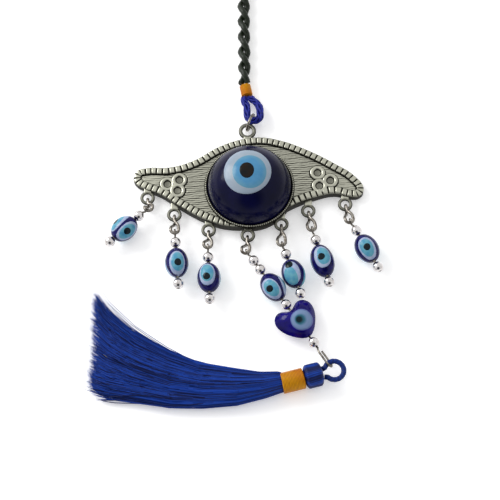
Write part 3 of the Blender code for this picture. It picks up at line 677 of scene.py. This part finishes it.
def link_route(length):
    """A closed oval link turned a quarter from upright to flat on its way down."""
    half, start, side_steps, corner_steps = LINK_HALF_WIDTH, LINK_START, 8, 10
    flat = []
    for i in range(corner_steps + 1):
        angle = math.pi / 2 + math.pi * i / corner_steps
        flat.append((start + half + half * math.cos(angle), half * math.sin(angle)))
    straight = length - start - 2 * half
    flat += [(start + half + straight * i / side_steps, -half) for i in range(1, side_steps)]
    for i in range(corner_steps + 1):
        angle = -math.pi / 2 + math.pi * i / corner_steps
        flat.append((length - half + half * math.cos(angle), half * math.sin(angle)))
    flat += [(start + half + straight * i / side_steps, half) for i in range(side_steps - 1, 0, -1)]
    route = []
    for along, across in flat:
        eased = smooth_step(along, LINK_TWIST_START, length - half * 1.1)
        angle = math.pi / 2 * (1 - eased)
        route.append((along, across * math.cos(angle), across * math.sin(angle) + eased * (PIN_Z - LUG_Z)))
    return route


wire = Finish("silvered_wire", {"Metallic": 1.0, "Roughness": 0.25})
wire_grime = wire.noise(wire.place(), 900.0, 3.0)
wire.shade({
    "Base Color": wire.blend(wire.between(wire_grime, 0.45, 0.7), (0.29, 0.27, 0.24), (0.075, 0.062, 0.05)),
    "Roughness": wire.between(wire_grime, 0.3, 0.7, 0.18, 0.4),
    "Normal": wire.bump(wire.noise(wire.place(), 2600.0), 0.03 * MM, 0.4),
})

for number, (length, turn) in LINKS.items():
    heading = math.radians(turn - 90.0)
    direction = (math.cos(heading), math.sin(heading), 0.0)
    shape = bmesh.new()
    tube(shape, laid(link_route(length), LUGS[number], direction), LINK_WIRE, 12, closed=True)
    link = made_piece(f"wire_link_{number}", shape, wire)
    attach(link, f"link_{number}")
    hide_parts(f"link_{number}")


# ------------------------------------------------------------ pins
# An eye pin hooks in the foot of each link and carries the beads. The middle one is long and
# its end is doubled back round the tassel's loop.
PIN_WIRE = 0.4 * MM
PIN_EYE = 1.3
PIN_TAIL = 0.7
TAIL_AT = 44.9
BIGHT_AT = 51.6
BIGHT_RADIUS = 1.7
BIGHT_TILT = math.radians(60.0)
HOOKS = {number: Vector(joints[f"pin_{number}_lift"]["pos_m"]) for number in range(1, 8)}
PIN_WAYS = {number: Vector((0.0, 0.0, 1.0)).cross(Vector(joints[f"pin_{number}_lift"]["axis"])).normalized()
            for number in range(1, 8)}


def reach_of(node, number):
    """How far along its pin a CAD node starts and ends, in millimetres."""
    verts = frame["nodes"][node].data.vertices
    along = [(vert.co - HOOKS[number]).dot(PIN_WAYS[number]) / MM for vert in verts]
    return min(along), max(along)


def pin_route(number):
    angles = [math.radians(62 + 17 * i) for i in range(17)]
    route = [(PIN_EYE * math.cos(angle), 0.0, PIN_EYE * math.sin(angle)) for angle in angles]
    route += [(1.5, 0.0, -0.12), (1.95, 0.0, 0.0)]
    if number != 4:
        end = reach_of(f"pin_{number}", number)[1] - PIN_TAIL
        return route + [(end / 2, 0.0, 0.0), (end, 0.0, 0.0)]
    across, rise = BIGHT_RADIUS * math.cos(BIGHT_TILT), BIGHT_RADIUS * math.sin(BIGHT_TILT)
    bight = []
    for i in range(13):
        angle = math.pi / 2 - math.pi * i / 12
        share = math.sin(angle)
        bight.append((BIGHT_AT + BIGHT_RADIUS * math.cos(angle), -across * share, rise * share))
    start = [(TAIL_AT, 0.0, 0.0), (TAIL_AT + 1.6, -across, rise)]
    return route + [(22.0, 0.0, 0.0)] + smooth_route(start + bight + [(TAIL_AT + 1.4, across, -rise)], 3)


for number in HOOKS:
    shape = bmesh.new()
    tube(shape, laid(pin_route(number), HOOKS[number], PIN_WAYS[number]), PIN_WIRE, 10)
    pin = made_piece(f"eye_pin_{number}", shape, wire)
    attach(pin, f"pin_{number}")
    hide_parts(f"pin_{number}")


# ------------------------------------------------------------ silver beads
# Hollow stamped beads, plated bright, sit above and below each glass bead. Their bores are
# slightly flared where the pin goes through.
SILVER_RADIUS = 2.05
SILVER_BORE = 0.62
SILVER_MOUTH = 0.95
SILVER_BEADS = {number: [f"top_bead_{number}", f"end_bead_{number}"] for number in (1, 2, 3, 5, 6, 7)}
SILVER_BEADS[4] = ["top_bead_4", "second_bead_4", "mid_bead_4", "heart_end_bead"]

bright = Finish("bright_plate", {"Metallic": 1.0, "Roughness": 0.08})
plate_haze = bright.noise(bright.place(), 700.0, 3.0)
bright.shade({
    "Base Color": bright.blend(bright.between(plate_haze, 0.4, 0.75), (0.74, 0.72, 0.72), (0.48, 0.44, 0.42)),
    "Roughness": bright.between(plate_haze, 0.3, 0.7, 0.05, 0.16),
    "Normal": bright.bump(bright.noise(bright.place(), 900.0, 1.0), 0.05 * MM, 0.25),
})


def bead_section(radius, half_length, steps, bore, mouth):
    """Outer side of a bead from one end to the other, closed along its bore."""
    end = math.acos(mouth / radius)
    angles = [end - 2 * end * i / steps for i in range(steps + 1)]
    outer = [(radius * math.cos(angle), half_length * math.sin(angle)) for angle in angles]
    top = outer[0][1]
    flare = [(bore, top - 0.25), (bore + 0.12, top - 0.04)]
    return flare + outer + [(reach, -height) for reach, height in reversed(flare)]


for number, names in SILVER_BEADS.items():
    for name in names:
        middle = sum(reach_of(name, number)) / 2
        shape = bmesh.new()
        section = bead_section(SILVER_RADIUS, SILVER_RADIUS, 18, SILVER_BORE, SILVER_MOUTH)
        turned(shape, section, 32, HOOKS[number] + PIN_WAYS[number] * middle * MM, PIN_WAYS[number])
        bead = made_piece(f"silver_{name}", shape, bright)
        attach(bead, f"pin_{number}")
        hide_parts(name)


# ------------------------------------------------------------ oval eye beads
# Lampworked navy beads wound on a rod, each with three eyes melted in round its middle:
# white, aqua and a dark pupil, one on another, none of them quite centred.
OVAL_RADIUS = 4.3
OVAL_BORE = 0.7
OVAL_MOUTH = 1.3
EYE_ROLL = 0.92
EYE_SINK = 0.3
EYE_DRIFT = 0.35
EYE_LAYERS = {
    "white": dict(across=3.35, along=4.45, proud=0.06, shade=1),
    "aqua": dict(across=2.7, along=3.65, proud=0.11, shade=2),
    "pupil": dict(across=1.5, along=1.5, proud=0.17, shade=3),
}
# For each bead, how far along it and how far round it (in degrees from straight up) the
# first eye's white, aqua and pupil lie, and the steps round to its other two eyes
EYE_PLACES = {
    1: dict(white=(0.4, -46), aqua=(0.5, -44), pupil=(0.6, -39), steps=(98, -130)),
    2: dict(white=(1.2, -4), aqua=(0.9, -6), pupil=(1.3, -7), steps=(120, -120)),
    3: dict(white=(-0.3, 10), aqua=(-0.6, 9), pupil=(0.8, 11), steps=(120, -120)),
    4: dict(white=(1.0, 28), aqua=(0.9, 24), pupil=(0.8, 31), steps=(120, -112)),
    5: dict(white=(0.4, 14), aqua=(1.5, 26), pupil=(-2.6, 14), steps=(120, -120)),
    6: dict(white=(-0.4, 2), aqua=(-0.5, -4), pupil=(-0.3, 7), steps=(120, -120)),
    7: dict(white=(0.9, 11), aqua=(0.8, 12), pupil=(0.7, 10), steps=(120, -120)),
}


def bead_glass(name, first, second, scale=600.0):
    """Glossy opaque bead glass, streaked by its winding."""
    made = Finish(name, {"Roughness": 0.14, "Specular IOR Level": 0.16})
    streak = made.noise(made.place(), scale, 4.0)
    made.shade({"Base Color": made.blend(made.between(streak, 0.35, 0.65), first, second),
                "Normal": made.bump(made.noise(made.place(), 500.0, 1.0), 0.08 * MM, 0.3)})
    return made


bead_colours = [
    bead_glass("bead_navy", (0.002, 0.002, 0.040), (0.006, 0.005, 0.105)),
    bead_glass("bead_white", (0.25, 0.32, 0.50), (0.36, 0.42, 0.56)),
    bead_glass("bead_aqua", (0.065, 0.25, 0.40), (0.12, 0.34, 0.42)),
    bead_glass("bead_pupil", (0.001, 0.006, 0.010), (0.003, 0.010, 0.013)),
]


def build_eye_bead(number):
    first, last = reach_of(f"eye_bead_{number}", number)
    half = (last - first) / 2
    centre = HOOKS[number] + PIN_WAYS[number] * (first + half) * MM
    ahead = np.array(PIN_WAYS[number])
    up = np.array((0.0, 0.0, 1.0))
    beside = np.cross(ahead, up)
    swell = half / math.sin(math.acos(OVAL_MOUTH / OVAL_RADIUS))

    def on_bead(along, roll, proud):
        radius = OVAL_RADIUS * np.sqrt(np.clip(1 - (along / swell) ** 2, 0.05, 1.0)) + proud
        out = np.cos(roll)[:, None] * up + np.sin(roll)[:, None] * beside
        return np.array(centre) + (along[:, None] * ahead + radius[:, None] * out) * MM

    shape = bmesh.new()
    turned(shape, bead_section(OVAL_RADIUS, swell, 24, OVAL_BORE, OVAL_MOUTH), 48, centre, PIN_WAYS[number])
    spots = EYE_PLACES[number]
    for eye, step in enumerate((0, *spots["steps"])):
        for layer, (name, size) in enumerate(EYE_LAYERS.items()):
            along, roll = spots[name]
            along += EYE_DRIFT * math.sin(3.0 * number + 2.0 * layer + 1.7 * eye) if eye else 0.0
            roll = math.radians(roll + step)
            seed = number + eye

            def place(u, v):
                turn = 2 * np.pi * v
                share = np.minimum(u / EYE_ROLL, 1.0)
                reach = share * (1 + 0.03 * np.sin(2 * turn + seed) + 0.02 * np.sin(3 * turn + 2 * seed))
                sunk = EYE_SINK * np.clip((u - EYE_ROLL) / (1 - EYE_ROLL), 0.0, 1.0)
                proud = size["proud"] * np.sqrt(1 - share ** 4) - sunk
                spot = along + size["along"] * reach * np.cos(turn)
                girth = OVAL_RADIUS * np.sqrt(np.clip(1 - (spot / swell) ** 2, 0.2, 1.0))
                return on_bead(spot, roll + size["across"] / girth * reach * np.sin(turn), proud)

            before = set(shape.faces)
            placed_grid(shape, 13, 36, place)
            for face in shape.faces:
                if face not in before:
                    face.material_index = size["shade"]
    close_rims(shape)
    return made_piece(f"oval_eye_bead_{number}", shape, *bead_colours)


for number in HOOKS:
    bead = build_eye_bead(number)
    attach(bead, f"eye_bead_{number}")
    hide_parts(f"eye_bead_{number}")


# ------------------------------------------------------------ heart bead
# A pressed heart of violet-blue glass, drilled from its notch to its point, with one large
# eye fused on its face that melts from dark teal through grey-blue into the heart.
HEART_THICKNESS = 7.0
HEART_CENTRE = 33.0
HEART_FACE_SCALE = 0.62
HEART_WAIST_SCALE = 1.09
HEART_FACE_RISE = 0.56
HEART_HALF_MM = [(28.6, 0.0), (26.9, 2.2), (26.2, 4.6), (28.2, 7.1), (32.0, 7.3), (36.4, 4.6), (40.4, 0.0)]
HEART_EYE_AT = (33.5, 0.8)
HEART_PUPIL_DRIFT = Vector((-1.5, -0.3, 0.0)) * MM
HEART_EYE_RADIUS = 4.1
HEART_EYE_ROLL = 0.94
HEART_EYE_PROUD = 0.08 * MM
HEART_EYE_SINK = 0.4 * MM

violet = bead_glass("heart_violet", (0.003, 0.001, 0.07), (0.007, 0.003, 0.16), 220.0)
heart_eye = Finish("heart_eye", {"Roughness": 0.16, "Specular IOR Level": 0.14})
heart_radial = heart_eye.node("ShaderNodeSeparateXYZ", {"Vector": heart_eye.wound(1.0, 1.0)}, "X")
heart_radial = heart_eye.sum(heart_radial, heart_eye.noise(heart_eye.place(), 350.0), 0.12)
heart_tone = (0.001, 0.012, 0.017)
for inner, outer, colour in ((0.28, 0.46, (0.03, 0.13, 0.19)), (0.45, 0.62, (0.16, 0.24, 0.40)),
                             (0.84, 1.02, (0.05, 0.05, 0.25))):
    heart_tone = heart_eye.blend(heart_eye.between(heart_radial, inner, outer), heart_tone, colour)
heart_eye.shade({"Base Color": heart_tone})


def build_heart():
    origin, way = HOOKS[4], PIN_WAYS[4]
    outline = [(x, y, 0.0) for x, y in HEART_HALF_MM]
    outline += [(x, -y, 0.0) for x, y in reversed(HEART_HALF_MM[1:-1])]
    middle = Vector(laid([(HEART_CENTRE, 0.0, 0.0)], origin, way)[0])
    shape = bmesh.new()
    faces = [shape.faces.new([shape.verts.new(spot) for spot in laid(outline, origin, way)])]
    for scale, rise in ((HEART_FACE_SCALE, -HEART_FACE_RISE),
                        (HEART_WAIST_SCALE / HEART_FACE_SCALE, HEART_FACE_RISE),
                        (HEART_FACE_SCALE / HEART_WAIST_SCALE, HEART_FACE_RISE)):
        verts = faces[0].verts[:]
        bmesh.ops.scale(shape, vec=(scale, scale, 1.0), space=Matrix.Translation(-middle), verts=verts)
        bmesh.ops.translate(shape, vec=(0.0, 0.0, rise * HEART_THICKNESS * MM), verts=verts)
        if scale != HEART_FACE_SCALE / HEART_WAIST_SCALE:
            grown = bmesh.ops.extrude_face_region(shape, geom=faces)["geom"]
            faces = [item for item in grown if isinstance(item, bmesh.types.BMFace)]
    heart = made_piece("heart_glass_bead", shape, violet)
    rounding = heart.modifiers.new("rounding", "SUBSURF")
    rounding.levels = 4
    rounding.render_levels = 4
    return heart


heart = build_heart()
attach(heart, "heart")
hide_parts("heart_bead")


def build_heart_eye():
    """A round cap laid on the heart's face, its rim sunk in the glass."""
    bpy.context.view_layer.update()
    skin = BVHTree.FromObject(heart, bpy.context.evaluated_depsgraph_get())
    centre = Vector(laid([(*HEART_EYE_AT, 0.0)], HOOKS[4], PIN_WAYS[4])[0])

    def place(u, v):
        turn = 2 * np.pi * v
        share = np.minimum(u / HEART_EYE_ROLL, 1.0)
        reach = HEART_EYE_RADIUS * MM * share * (1 + 0.02 * np.sin(2 * turn + 1.0))
        lift = HEART_EYE_PROUD * np.sqrt(1 - share ** 4) - HEART_EYE_SINK * (u > HEART_EYE_ROLL + 0.01)
        spots = []
        for across, angle, out, rise in zip(reach, turn, u, lift):
            start = centre + Vector((across * math.cos(angle), across * math.sin(angle), 20 * MM))
            start += HEART_PUPIL_DRIFT * (1 - out) ** 1.5
            hit = skin.ray_cast(start, Vector((0.0, 0.0, -1.0)))[0]
            spots.append(hit + Vector((0.0, 0.0, rise)))
        return np.array([tuple(spot) for spot in spots])

    shape = bmesh.new()
    placed_grid(shape, 17, 60, place)
    close_rims(shape)
    return made_piece("heart_eye_cap", shape, heart_eye)


heart_cap = build_heart_eye()
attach(heart_cap, "heart")


# ------------------------------------------------------------ tassel: loop and head
# The tassel is a hank of blue rayon thread doubled over a corded loop. Its head is the bend
# of the hank, bulging before the binding.
TASSEL_ANGLE = math.radians(194.5)
TASSEL_AT = Vector(joints["tassel_swing"]["pos_m"])
TASSEL_AT.z = 0.0
TASSEL_WAY = Vector((math.cos(TASSEL_ANGLE), math.sin(TASSEL_ANGLE), 0.0))
TASSEL_Z = 4.65
TASSEL_RING = 3.45
TASSEL_CORD = 0.96 * MM
TASSEL_CORD_TURNS = 7
HEAD_SPAN = (4.2, 11.4)
HEAD_RADIUS = 4.45
HEAD_THREADS = 44
# Groove depth in millimetres at which a groove's painted shade is darkest
DARK_GROOVE = 0.22

# The depth layer darkens the thread: painted shade in the grooves of the head, between the loop's plies and
# on the skirt's ribbed core, and a random tone on each hair.
silk = Finish("blue_rayon", {"Specular IOR Level": 0.2})
silk_thread = silk.noise(silk.wound(3.0, 60.0), 1.0, 2.0)
silk_light = silk.sum(silk.attribute("depth"), silk_thread, 0.5)
silk_tone = silk.blend(silk.between(silk_light, 0.30, 1.0), (0.004, 0.045, 0.33), (0.0006, 0.005, 0.055))
silk.shade({
    "Base Color": silk_tone,
    "Roughness": silk.between(silk_thread, 0.3, 0.7, 0.40, 0.62),
    "Normal": silk.bump(silk_thread, 0.12 * MM, 0.6),
})


def on_tassel(points):
    """Points in the tassel's own millimetres, moved to its place."""
    return laid(points, TASSEL_AT, TASSEL_WAY)


def build_tassel_loop():
    start = math.radians(33)
    steps = 40
    ring = [(4.1, 1.5, PIN_Z)]
    for i in range(steps + 1):
        angle = start + (2 * math.pi - 2 * start) * i / steps
        ring.append((TASSEL_RING * math.cos(angle), TASSEL_RING * math.sin(angle), PIN_Z))
    ring.append((4.1, -1.5, PIN_Z))

    def strands(share, around):
        return np.abs(np.cos(around + 2 * np.pi * TASSEL_CORD_TURNS * share))

    shape = bmesh.new()
    # The valleys between the cord's plies are painted darker as shade, the crowns lighter.
    tube(shape, on_tassel(ring), lambda share, angle: TASSEL_CORD * (0.92 + 0.10 * strands(share, angle)), 20,
         depth=lambda u, v: 0.75 - 0.35 * strands(u, 2 * np.pi * v))
    return made_piece("corded_loop", shape, silk)


def barrel(name, span, radius, rounding, height, grooves, finish, along=48, around=132):
    """A bulging roll along the tassel; grooves(u, v) is the depth of its surface's grooves, which are painted
    darker as shade.
    """
    def place(u, v):
        t = 2 * u - 1
        ends = np.clip((1 - np.abs(t)) / rounding, 0.0, 1.0)
        reach = radius * np.sqrt(ends * (2 - ends)) - grooves(u, v) * ends
        x = span[0] + (span[1] - span[0]) * u
        angle = 2 * np.pi * v
        return on_tassel(np.column_stack([x, reach * np.cos(angle), reach * np.sin(angle) + height]))

    shape = bmesh.new()
    placed_grid(shape, along, around, place, lambda u, v: grooves(u, v) / DARK_GROOVE)
    return made_piece(name, shape, finish)


def head_grooves(u, v):
    lines = np.abs(np.sin(np.pi * (HEAD_THREADS * v + 0.8 * np.sin(6.0 * v * math.pi) + 0.5 * u)))
    folds = 0.5 + 0.5 * np.sin(2 * np.pi * (7 * v + 0.2 * np.sin(3 * u)))
    return 0.16 * (1 - lines) + 0.14 * folds


tassel_loop = build_tassel_loop()
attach(tassel_loop, "tassel")
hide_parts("tassel_loop")
tassel_head = barrel("thread_head", HEAD_SPAN, HEAD_RADIUS, 0.45, TASSEL_Z, head_grooves, silk)
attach(tassel_head, "tassel")
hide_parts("tassel_head")


# ------------------------------------------------------------ tassel: yellow binding
# Golden yellow thread is wound round the neck of the hank in close turns and tucked under,
# so it shines along each turn.
WRAP_SPAN = (11.2, 19.7)
WRAP_RADIUS = 3.85
WRAP_TURNS = 17

yellow = Finish("yellow_thread", {"Roughness": 0.42, "Specular IOR Level": 0.12})
yellow_fibre = yellow.noise(yellow.wound(90.0, 9.0), 1.0, 2.0)
yellow_shade = yellow.sum(yellow.attribute("depth"), yellow_fibre, 0.8)
yellow_cloud = yellow.between(yellow.noise(yellow.place(), 160.0, 1.0), 0.35, 0.65)
yellow_lit = yellow.blend(yellow_cloud, (0.66, 0.30, 0.003), (0.52, 0.17, 0.002))
yellow.shade({
    "Base Color": yellow.blend(yellow.between(yellow_shade, 0.3, 1.0), yellow_lit, (0.20, 0.05, 0.001)),
    "Normal": yellow.bump(yellow_fibre, 0.05 * MM, 0.5),
})


def wrap_grooves(u, v):
    return 0.10 * (1 - np.abs(np.sin(np.pi * (WRAP_TURNS * u + v))))


tassel_wrap = barrel("yellow_binding", WRAP_SPAN, WRAP_RADIUS, 0.08, WRAP_RADIUS + 0.3, wrap_grooves, yellow,
                     along=150, around=40)
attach(tassel_wrap, "tassel")
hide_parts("tassel_wrap")


# ------------------------------------------------------------ tassel: skirt
# Below the binding the threads spread in a long flat fan that curls towards the left. They
# lie in locks, with single hairs astray along both edges and at the ends.
SKIRT_SKEW = 0.26
SKIRT_RIBS = 29
STRANDS = 1300
STRAND_STEPS = 16
STRAND_RADIUS = 0.19
STRAY_SHARE = 0.09
LOCKS = 46
CORE_SHARE = 0.74
# The fan's sections: distance along, sideways shift, half width and half thickness
SKIRT_MM = np.array([
    (18.5, -0.7, 3.3, 3.3), (20.0, -0.9, 3.7, 3.6), (26.3, -1.4, 4.7, 3.5), (36.0, -3.4, 6.6, 3.2),
    (47.5, -7.0, 8.0, 2.8), (58.4, -12.6, 10.2, 2.4), (69.0, -19.9, 12.0, 2.1), (77.2, -26.9, 14.5, 1.8),
    (81.8, -33.4, 16.6, 1.5),
])


def fan_spot(share, across, height):
    """A point of the fan: share of the way down, across from -1 to 1 and up from -1 to 1."""
    knots = np.linspace(0.0, 1.0, len(SKIRT_MM))
    along, shift, wide, thick = (np.interp(share, knots, SKIRT_MM[:, column]) for column in range(4))
    beyond = np.maximum(share - 1.0, 0.0)
    x = along + SKIRT_SKEW * share * wide * across + beyond * 60.0
    y = shift + wide * across - beyond * 48.0
    return np.column_stack([x, y, thick * (1 + height) + 0.15])


def build_skirt():
    """A ribbed core, with three-sided hairs laid over it."""
    draw = np.random.default_rng(7)
    angle = draw.uniform(0.0, 2 * np.pi, STRANDS)
    rim = 0.86 + 0.16 * draw.random(STRANDS)
    stray = draw.random(STRANDS) < STRAY_SHARE
    lock = draw.integers(0, LOCKS, STRANDS)
    lock_way = draw.normal(0.0, 0.10, LOCKS)[lock]
    wander = draw.normal(0.0, 1.0, STRANDS) * np.where(stray, 0.20, 0.03) + lock_way
    swing = draw.uniform(0.5, 1.7, LOCKS)[lock]
    start = draw.uniform(0.0, 2 * np.pi, LOCKS)[lock] + draw.normal(0.0, 0.25, STRANDS)
    swing_by = np.where(stray, 0.13, 0.07)
    length = 1.0 + draw.normal(0.0, 0.015, STRANDS) - stray * draw.uniform(0.0, 0.12, STRANDS)
    shade = np.clip(draw.normal(0.35, 0.35, STRANDS) + draw.normal(0.0, 0.15, LOCKS)[lock], 0.0, 1.0)

    def core(u, v):
        turn = 2 * np.pi * v
        ribs = 0.88 - 0.10 * np.abs(np.sin(SKIRT_RIBS * turn)) - 0.05 * np.sin(7 * turn + 9 * u)
        ribs *= (u > 0.01) & (u < 0.99)
        return on_tassel(fan_spot(CORE_SHARE * u, ribs * np.cos(turn), ribs * np.sin(turn)))

    def row_at(v):
        return np.rint(v * (4 * STRANDS - 1)).astype(int)

    def hair(u, v):
        row = row_at(v)
        of, turn = row // 4, 2 * np.pi * (row % 4) / 3
        drift = wander[of] * u ** 2 + swing_by[of] * u * np.sin(2 * np.pi * swing[of] * u + start[of])
        middle = fan_spot(u * length[of], rim[of] * np.cos(angle[of]) + drift,
                          rim[of] * np.sin(angle[of]) * (1 - 0.3 * np.abs(drift)))
        thick = STRAND_RADIUS * ((u > 0.01) & (u < 0.99))
        middle[:, 1] += thick * np.cos(turn)
        middle[:, 2] += thick * np.sin(turn)
        return on_tassel(middle)

    shape = bmesh.new()
    verts = placed_grid(shape, STRAND_STEPS, 4 * STRANDS - 1, hair, lambda u, v: shade[row_at(v) // 4])
    strand_of = {vert: i // (STRAND_STEPS + 1) // 4 for i, vert in enumerate(verts)}
    bridges = [face for face in shape.faces if len({strand_of[vert] for vert in face.verts}) > 1]
    bmesh.ops.delete(shape, geom=bridges, context="FACES")
    # The core is painted fairly dark all over, and darker still in the grooves between its ribs as painted
    # shade.
    placed_grid(shape, 50, 180, core, lambda u, v: 0.55 + 0.4 * np.abs(np.sin(SKIRT_RIBS * 2 * np.pi * v)))
    return made_piece("thread_skirt", shape, silk)


skirt = build_skirt()
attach(skirt, "tassel")
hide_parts("tassel_skirt")


# ------------------------------------------------------------ jump ring
# One round jump ring of silvered wire stands in the top lug and holds the hanger.
RING_RADIUS = 3.3
RING_WIRE = 0.5 * MM
RING_STEPS = 48
RING_AT = (Vector(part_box("top_ring")[0]) + Vector(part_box("top_ring")[1])) / 2
RING_WAY = Vector(joints["hanger_swing"]["pos_m"]) - RING_AT
RING_WAY.z = 0.0

ring_route = []
for i in range(RING_STEPS):
    angle = 2 * math.pi * i / RING_STEPS
    ring_route.append((RING_RADIUS * math.cos(angle), 0.0, RING_RADIUS * math.sin(angle)))
shape = bmesh.new()
tube(shape, laid(ring_route, RING_AT, RING_WAY.normalized()), RING_WIRE, 14, closed=True)
ring = made_piece("jump_ring", shape, wire)
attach(ring, "top_ring")
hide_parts("top_ring")


# ------------------------------------------------------------ hanger: blue loop and binding
# A skein of ultramarine thread goes through the jump ring, doubles back and is bound to the
# hanging cord with yellow thread.
LOOP_YARNS = 10
LOOP_BEND = 2.4
YARN_RADIUS = 0.45 * MM
LOOP_TURN = Vector(joints["hanger_swing"]["pos_m"]) / MM
HANGER_WRAP_AT = Vector((-1.3, 41.8, 2.5)) * MM
HANGER_WRAP_HALF = 2.45
HANGER_WRAP_RADIUS = 2.2
HANGER_WRAP_LEAN = math.radians(11.5)
HANGER_WRAP_TURNS = 10
ULTRAMARINE_DEEP = (0.003, 0.004, 0.10)
ULTRAMARINE_LIT = (0.010, 0.020, 0.30)

ultramarine = Finish("ultramarine_thread", {"Roughness": 0.45, "Specular IOR Level": 0.2})
ultramarine_fibre = ultramarine.noise(ultramarine.wound(60.0, 5.0), 1.0, 2.0)
ultramarine.shade({
    "Base Color": ultramarine.blend(ultramarine.between(ultramarine_fibre, 0.3, 0.7),
                                    ULTRAMARINE_DEEP, ULTRAMARINE_LIT),
    "Normal": ultramarine.bump(ultramarine_fibre, 0.05 * MM, 0.5),
})


def hanger_loop_route():
    bight = [(LOOP_TURN.x + LOOP_BEND * math.cos(math.radians(-45 * i)),
              LOOP_TURN.y + LOOP_BEND * math.sin(math.radians(-45 * i)), 4.1) for i in range(5)]
    points = [(0.45, 38.95, 2.6), (0.8, 38.0, 2.7), (2.8, 36.3, 3.1), (3.8, 33.9, 3.7)] + bight
    points += [(-0.95, 34.0, 3.7), (-2.0, 36.6, 3.0), (-1.95, 38.75, 2.6)]
    return [point * MM for point in smooth_route(points, 6)]


def build_skein():
    """Yarns side by side round one route, each wandering a little round the bundle."""
    route = hanger_loop_route()
    up = Vector((0.0, 0.0, 1.0))
    shape = bmesh.new()
    for yarn in range(LOOP_YARNS):
        inner = yarn == LOOP_YARNS - 1
        spots = []
        for i, point in enumerate(route):
            ahead = (route[min(i + 1, len(route) - 1)] - route[max(i - 1, 0)]).normalized()
            side = ahead.cross(up).normalized()
            turn = 2 * math.pi * yarn / (LOOP_YARNS - 1) + 2.6 * i / len(route)
            turn += 0.4 * math.sin(0.5 * i + 2 * yarn)
            out = 0.0 if inner else 0.98 + 0.14 * math.sin(0.35 * i + 1.9 * yarn)
            spots.append(point + (side * math.cos(turn) + up * math.sin(turn)) * out * MM)
        tube(shape, spots, YARN_RADIUS, 8)
    return made_piece("blue_thread_skein", shape, ultramarine)


def build_hanger_wrap():
    way = np.array((-math.sin(HANGER_WRAP_LEAN), math.cos(HANGER_WRAP_LEAN), 0.0))
    up = np.array((0.0, 0.0, 1.0))
    side = np.cross(way, up)

    def grooves(u, v):
        return 0.10 * (1 - np.abs(np.sin(np.pi * (HANGER_WRAP_TURNS * u + v))))

    def place(u, v):
        ends = np.clip((0.5 - np.abs(u - 0.5)) / 0.08, 0.0, 1.0)
        reach = HANGER_WRAP_RADIUS * np.sqrt(np.clip(ends * (2 - ends), 0.0, 1.0)) - grooves(u, v) * ends
        angle = 2 * np.pi * v
        along = HANGER_WRAP_HALF * (2 * u - 1)
        out = np.cos(angle)[:, None] * side + np.sin(angle)[:, None] * up
        return np.array(HANGER_WRAP_AT) + MM * (along[:, None] * way + reach[:, None] * out)

    shape = bmesh.new()
    # The grooves between the turns are painted darker as shade.
    placed_grid(shape, 90, 36, place, lambda u, v: grooves(u, v) / 0.3)
    return made_piece("yellow_hanger_binding", shape, yellow)


skein = build_skein()
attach(skein, "hanger")
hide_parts("hanger_loop")
hanger_wrap = build_hanger_wrap()
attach(hanger_wrap, "hanger")
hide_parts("hanger_wrap")


# ------------------------------------------------------------ hanging cord
# One length of black satin cord goes in at the binding, up, round an open loop and back, its
# two legs twisted together. It is limp and lies flat on the table.
HANGING_CORD = 1.2 * MM
TWIST_RADIUS = 1.35
TWIST_TURNS = 3
TWIST_START = (-2.0, 45.15)
TWIST_END = (-2.4, 87.0)
TWIST_Z = 2.65
HANGING_LOOP_MM = [(2.6, 91.0, 1.9), (6.2, 97.0, 1.3), (7.9, 104.0, 1.25), (5.0, 110.6, 1.25)]
HANGING_LOOP_END_MM = (0.0, 113.2, 1.25)
CORD_LAY = 5.0 * MM

satin = Finish("black_satin", {"Roughness": 0.35, "Specular IOR Level": 0.25})
satin_fibre = satin.noise(satin.wound(900.0, 8.0), 1.0, 2.0)
satin.shade({
    "Base Color": satin.blend(satin.between(satin_fibre, 0.35, 0.7),
                              (0.002, 0.003, 0.002), (0.016, 0.026, 0.012)),
    "Normal": satin.bump(satin_fibre, 0.04 * MM, 0.5),
})


def hanging_route():
    """Up the right leg, round the loop and down the left one, in millimetres."""
    quarter_turns = 4 * TWIST_TURNS
    up = []
    down = []
    for i in range(quarter_turns + 1):
        share = i / quarter_turns
        angle = 2 * math.pi * TWIST_TURNS * share
        x = TWIST_START[0] + (TWIST_END[0] - TWIST_START[0]) * share
        y = TWIST_START[1] + (TWIST_END[1] - TWIST_START[1]) * share
        across, rise = TWIST_RADIUS * math.cos(angle), TWIST_RADIUS * math.sin(angle)
        up.append((x + across, y, TWIST_Z + rise))
        down.append((x - across, y, TWIST_Z - rise))
    middle = TWIST_END[0]
    right = [(middle + x, y, z) for x, y, z in HANGING_LOOP_MM]
    left = [(middle - x, y, z) for x, y, z in reversed(HANGING_LOOP_MM)]
    far = (middle + HANGING_LOOP_END_MM[0], HANGING_LOOP_END_MM[1], HANGING_LOOP_END_MM[2])
    return up + right + [far] + left + list(reversed(down))


cord_line = np.array([tuple(point * MM) for point in smooth_route(hanging_route(), 8)])
cord_length = np.linalg.norm(np.diff(cord_line, axis=0), axis=1).sum()
cord_line = equal_steps(cord_line, 420, closed=False)
shape = bmesh.new()
tube(shape, cord_line, lambda share, angle: HANGING_CORD * (
    0.90 + 0.12 * np.abs(np.cos(angle + 2 * np.pi * share * cord_length / CORD_LAY))), 16)
hanging_cord = made_piece("black_hanging_cord", shape, satin)
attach(hanging_cord, "hanger")
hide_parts("hanger_cord")
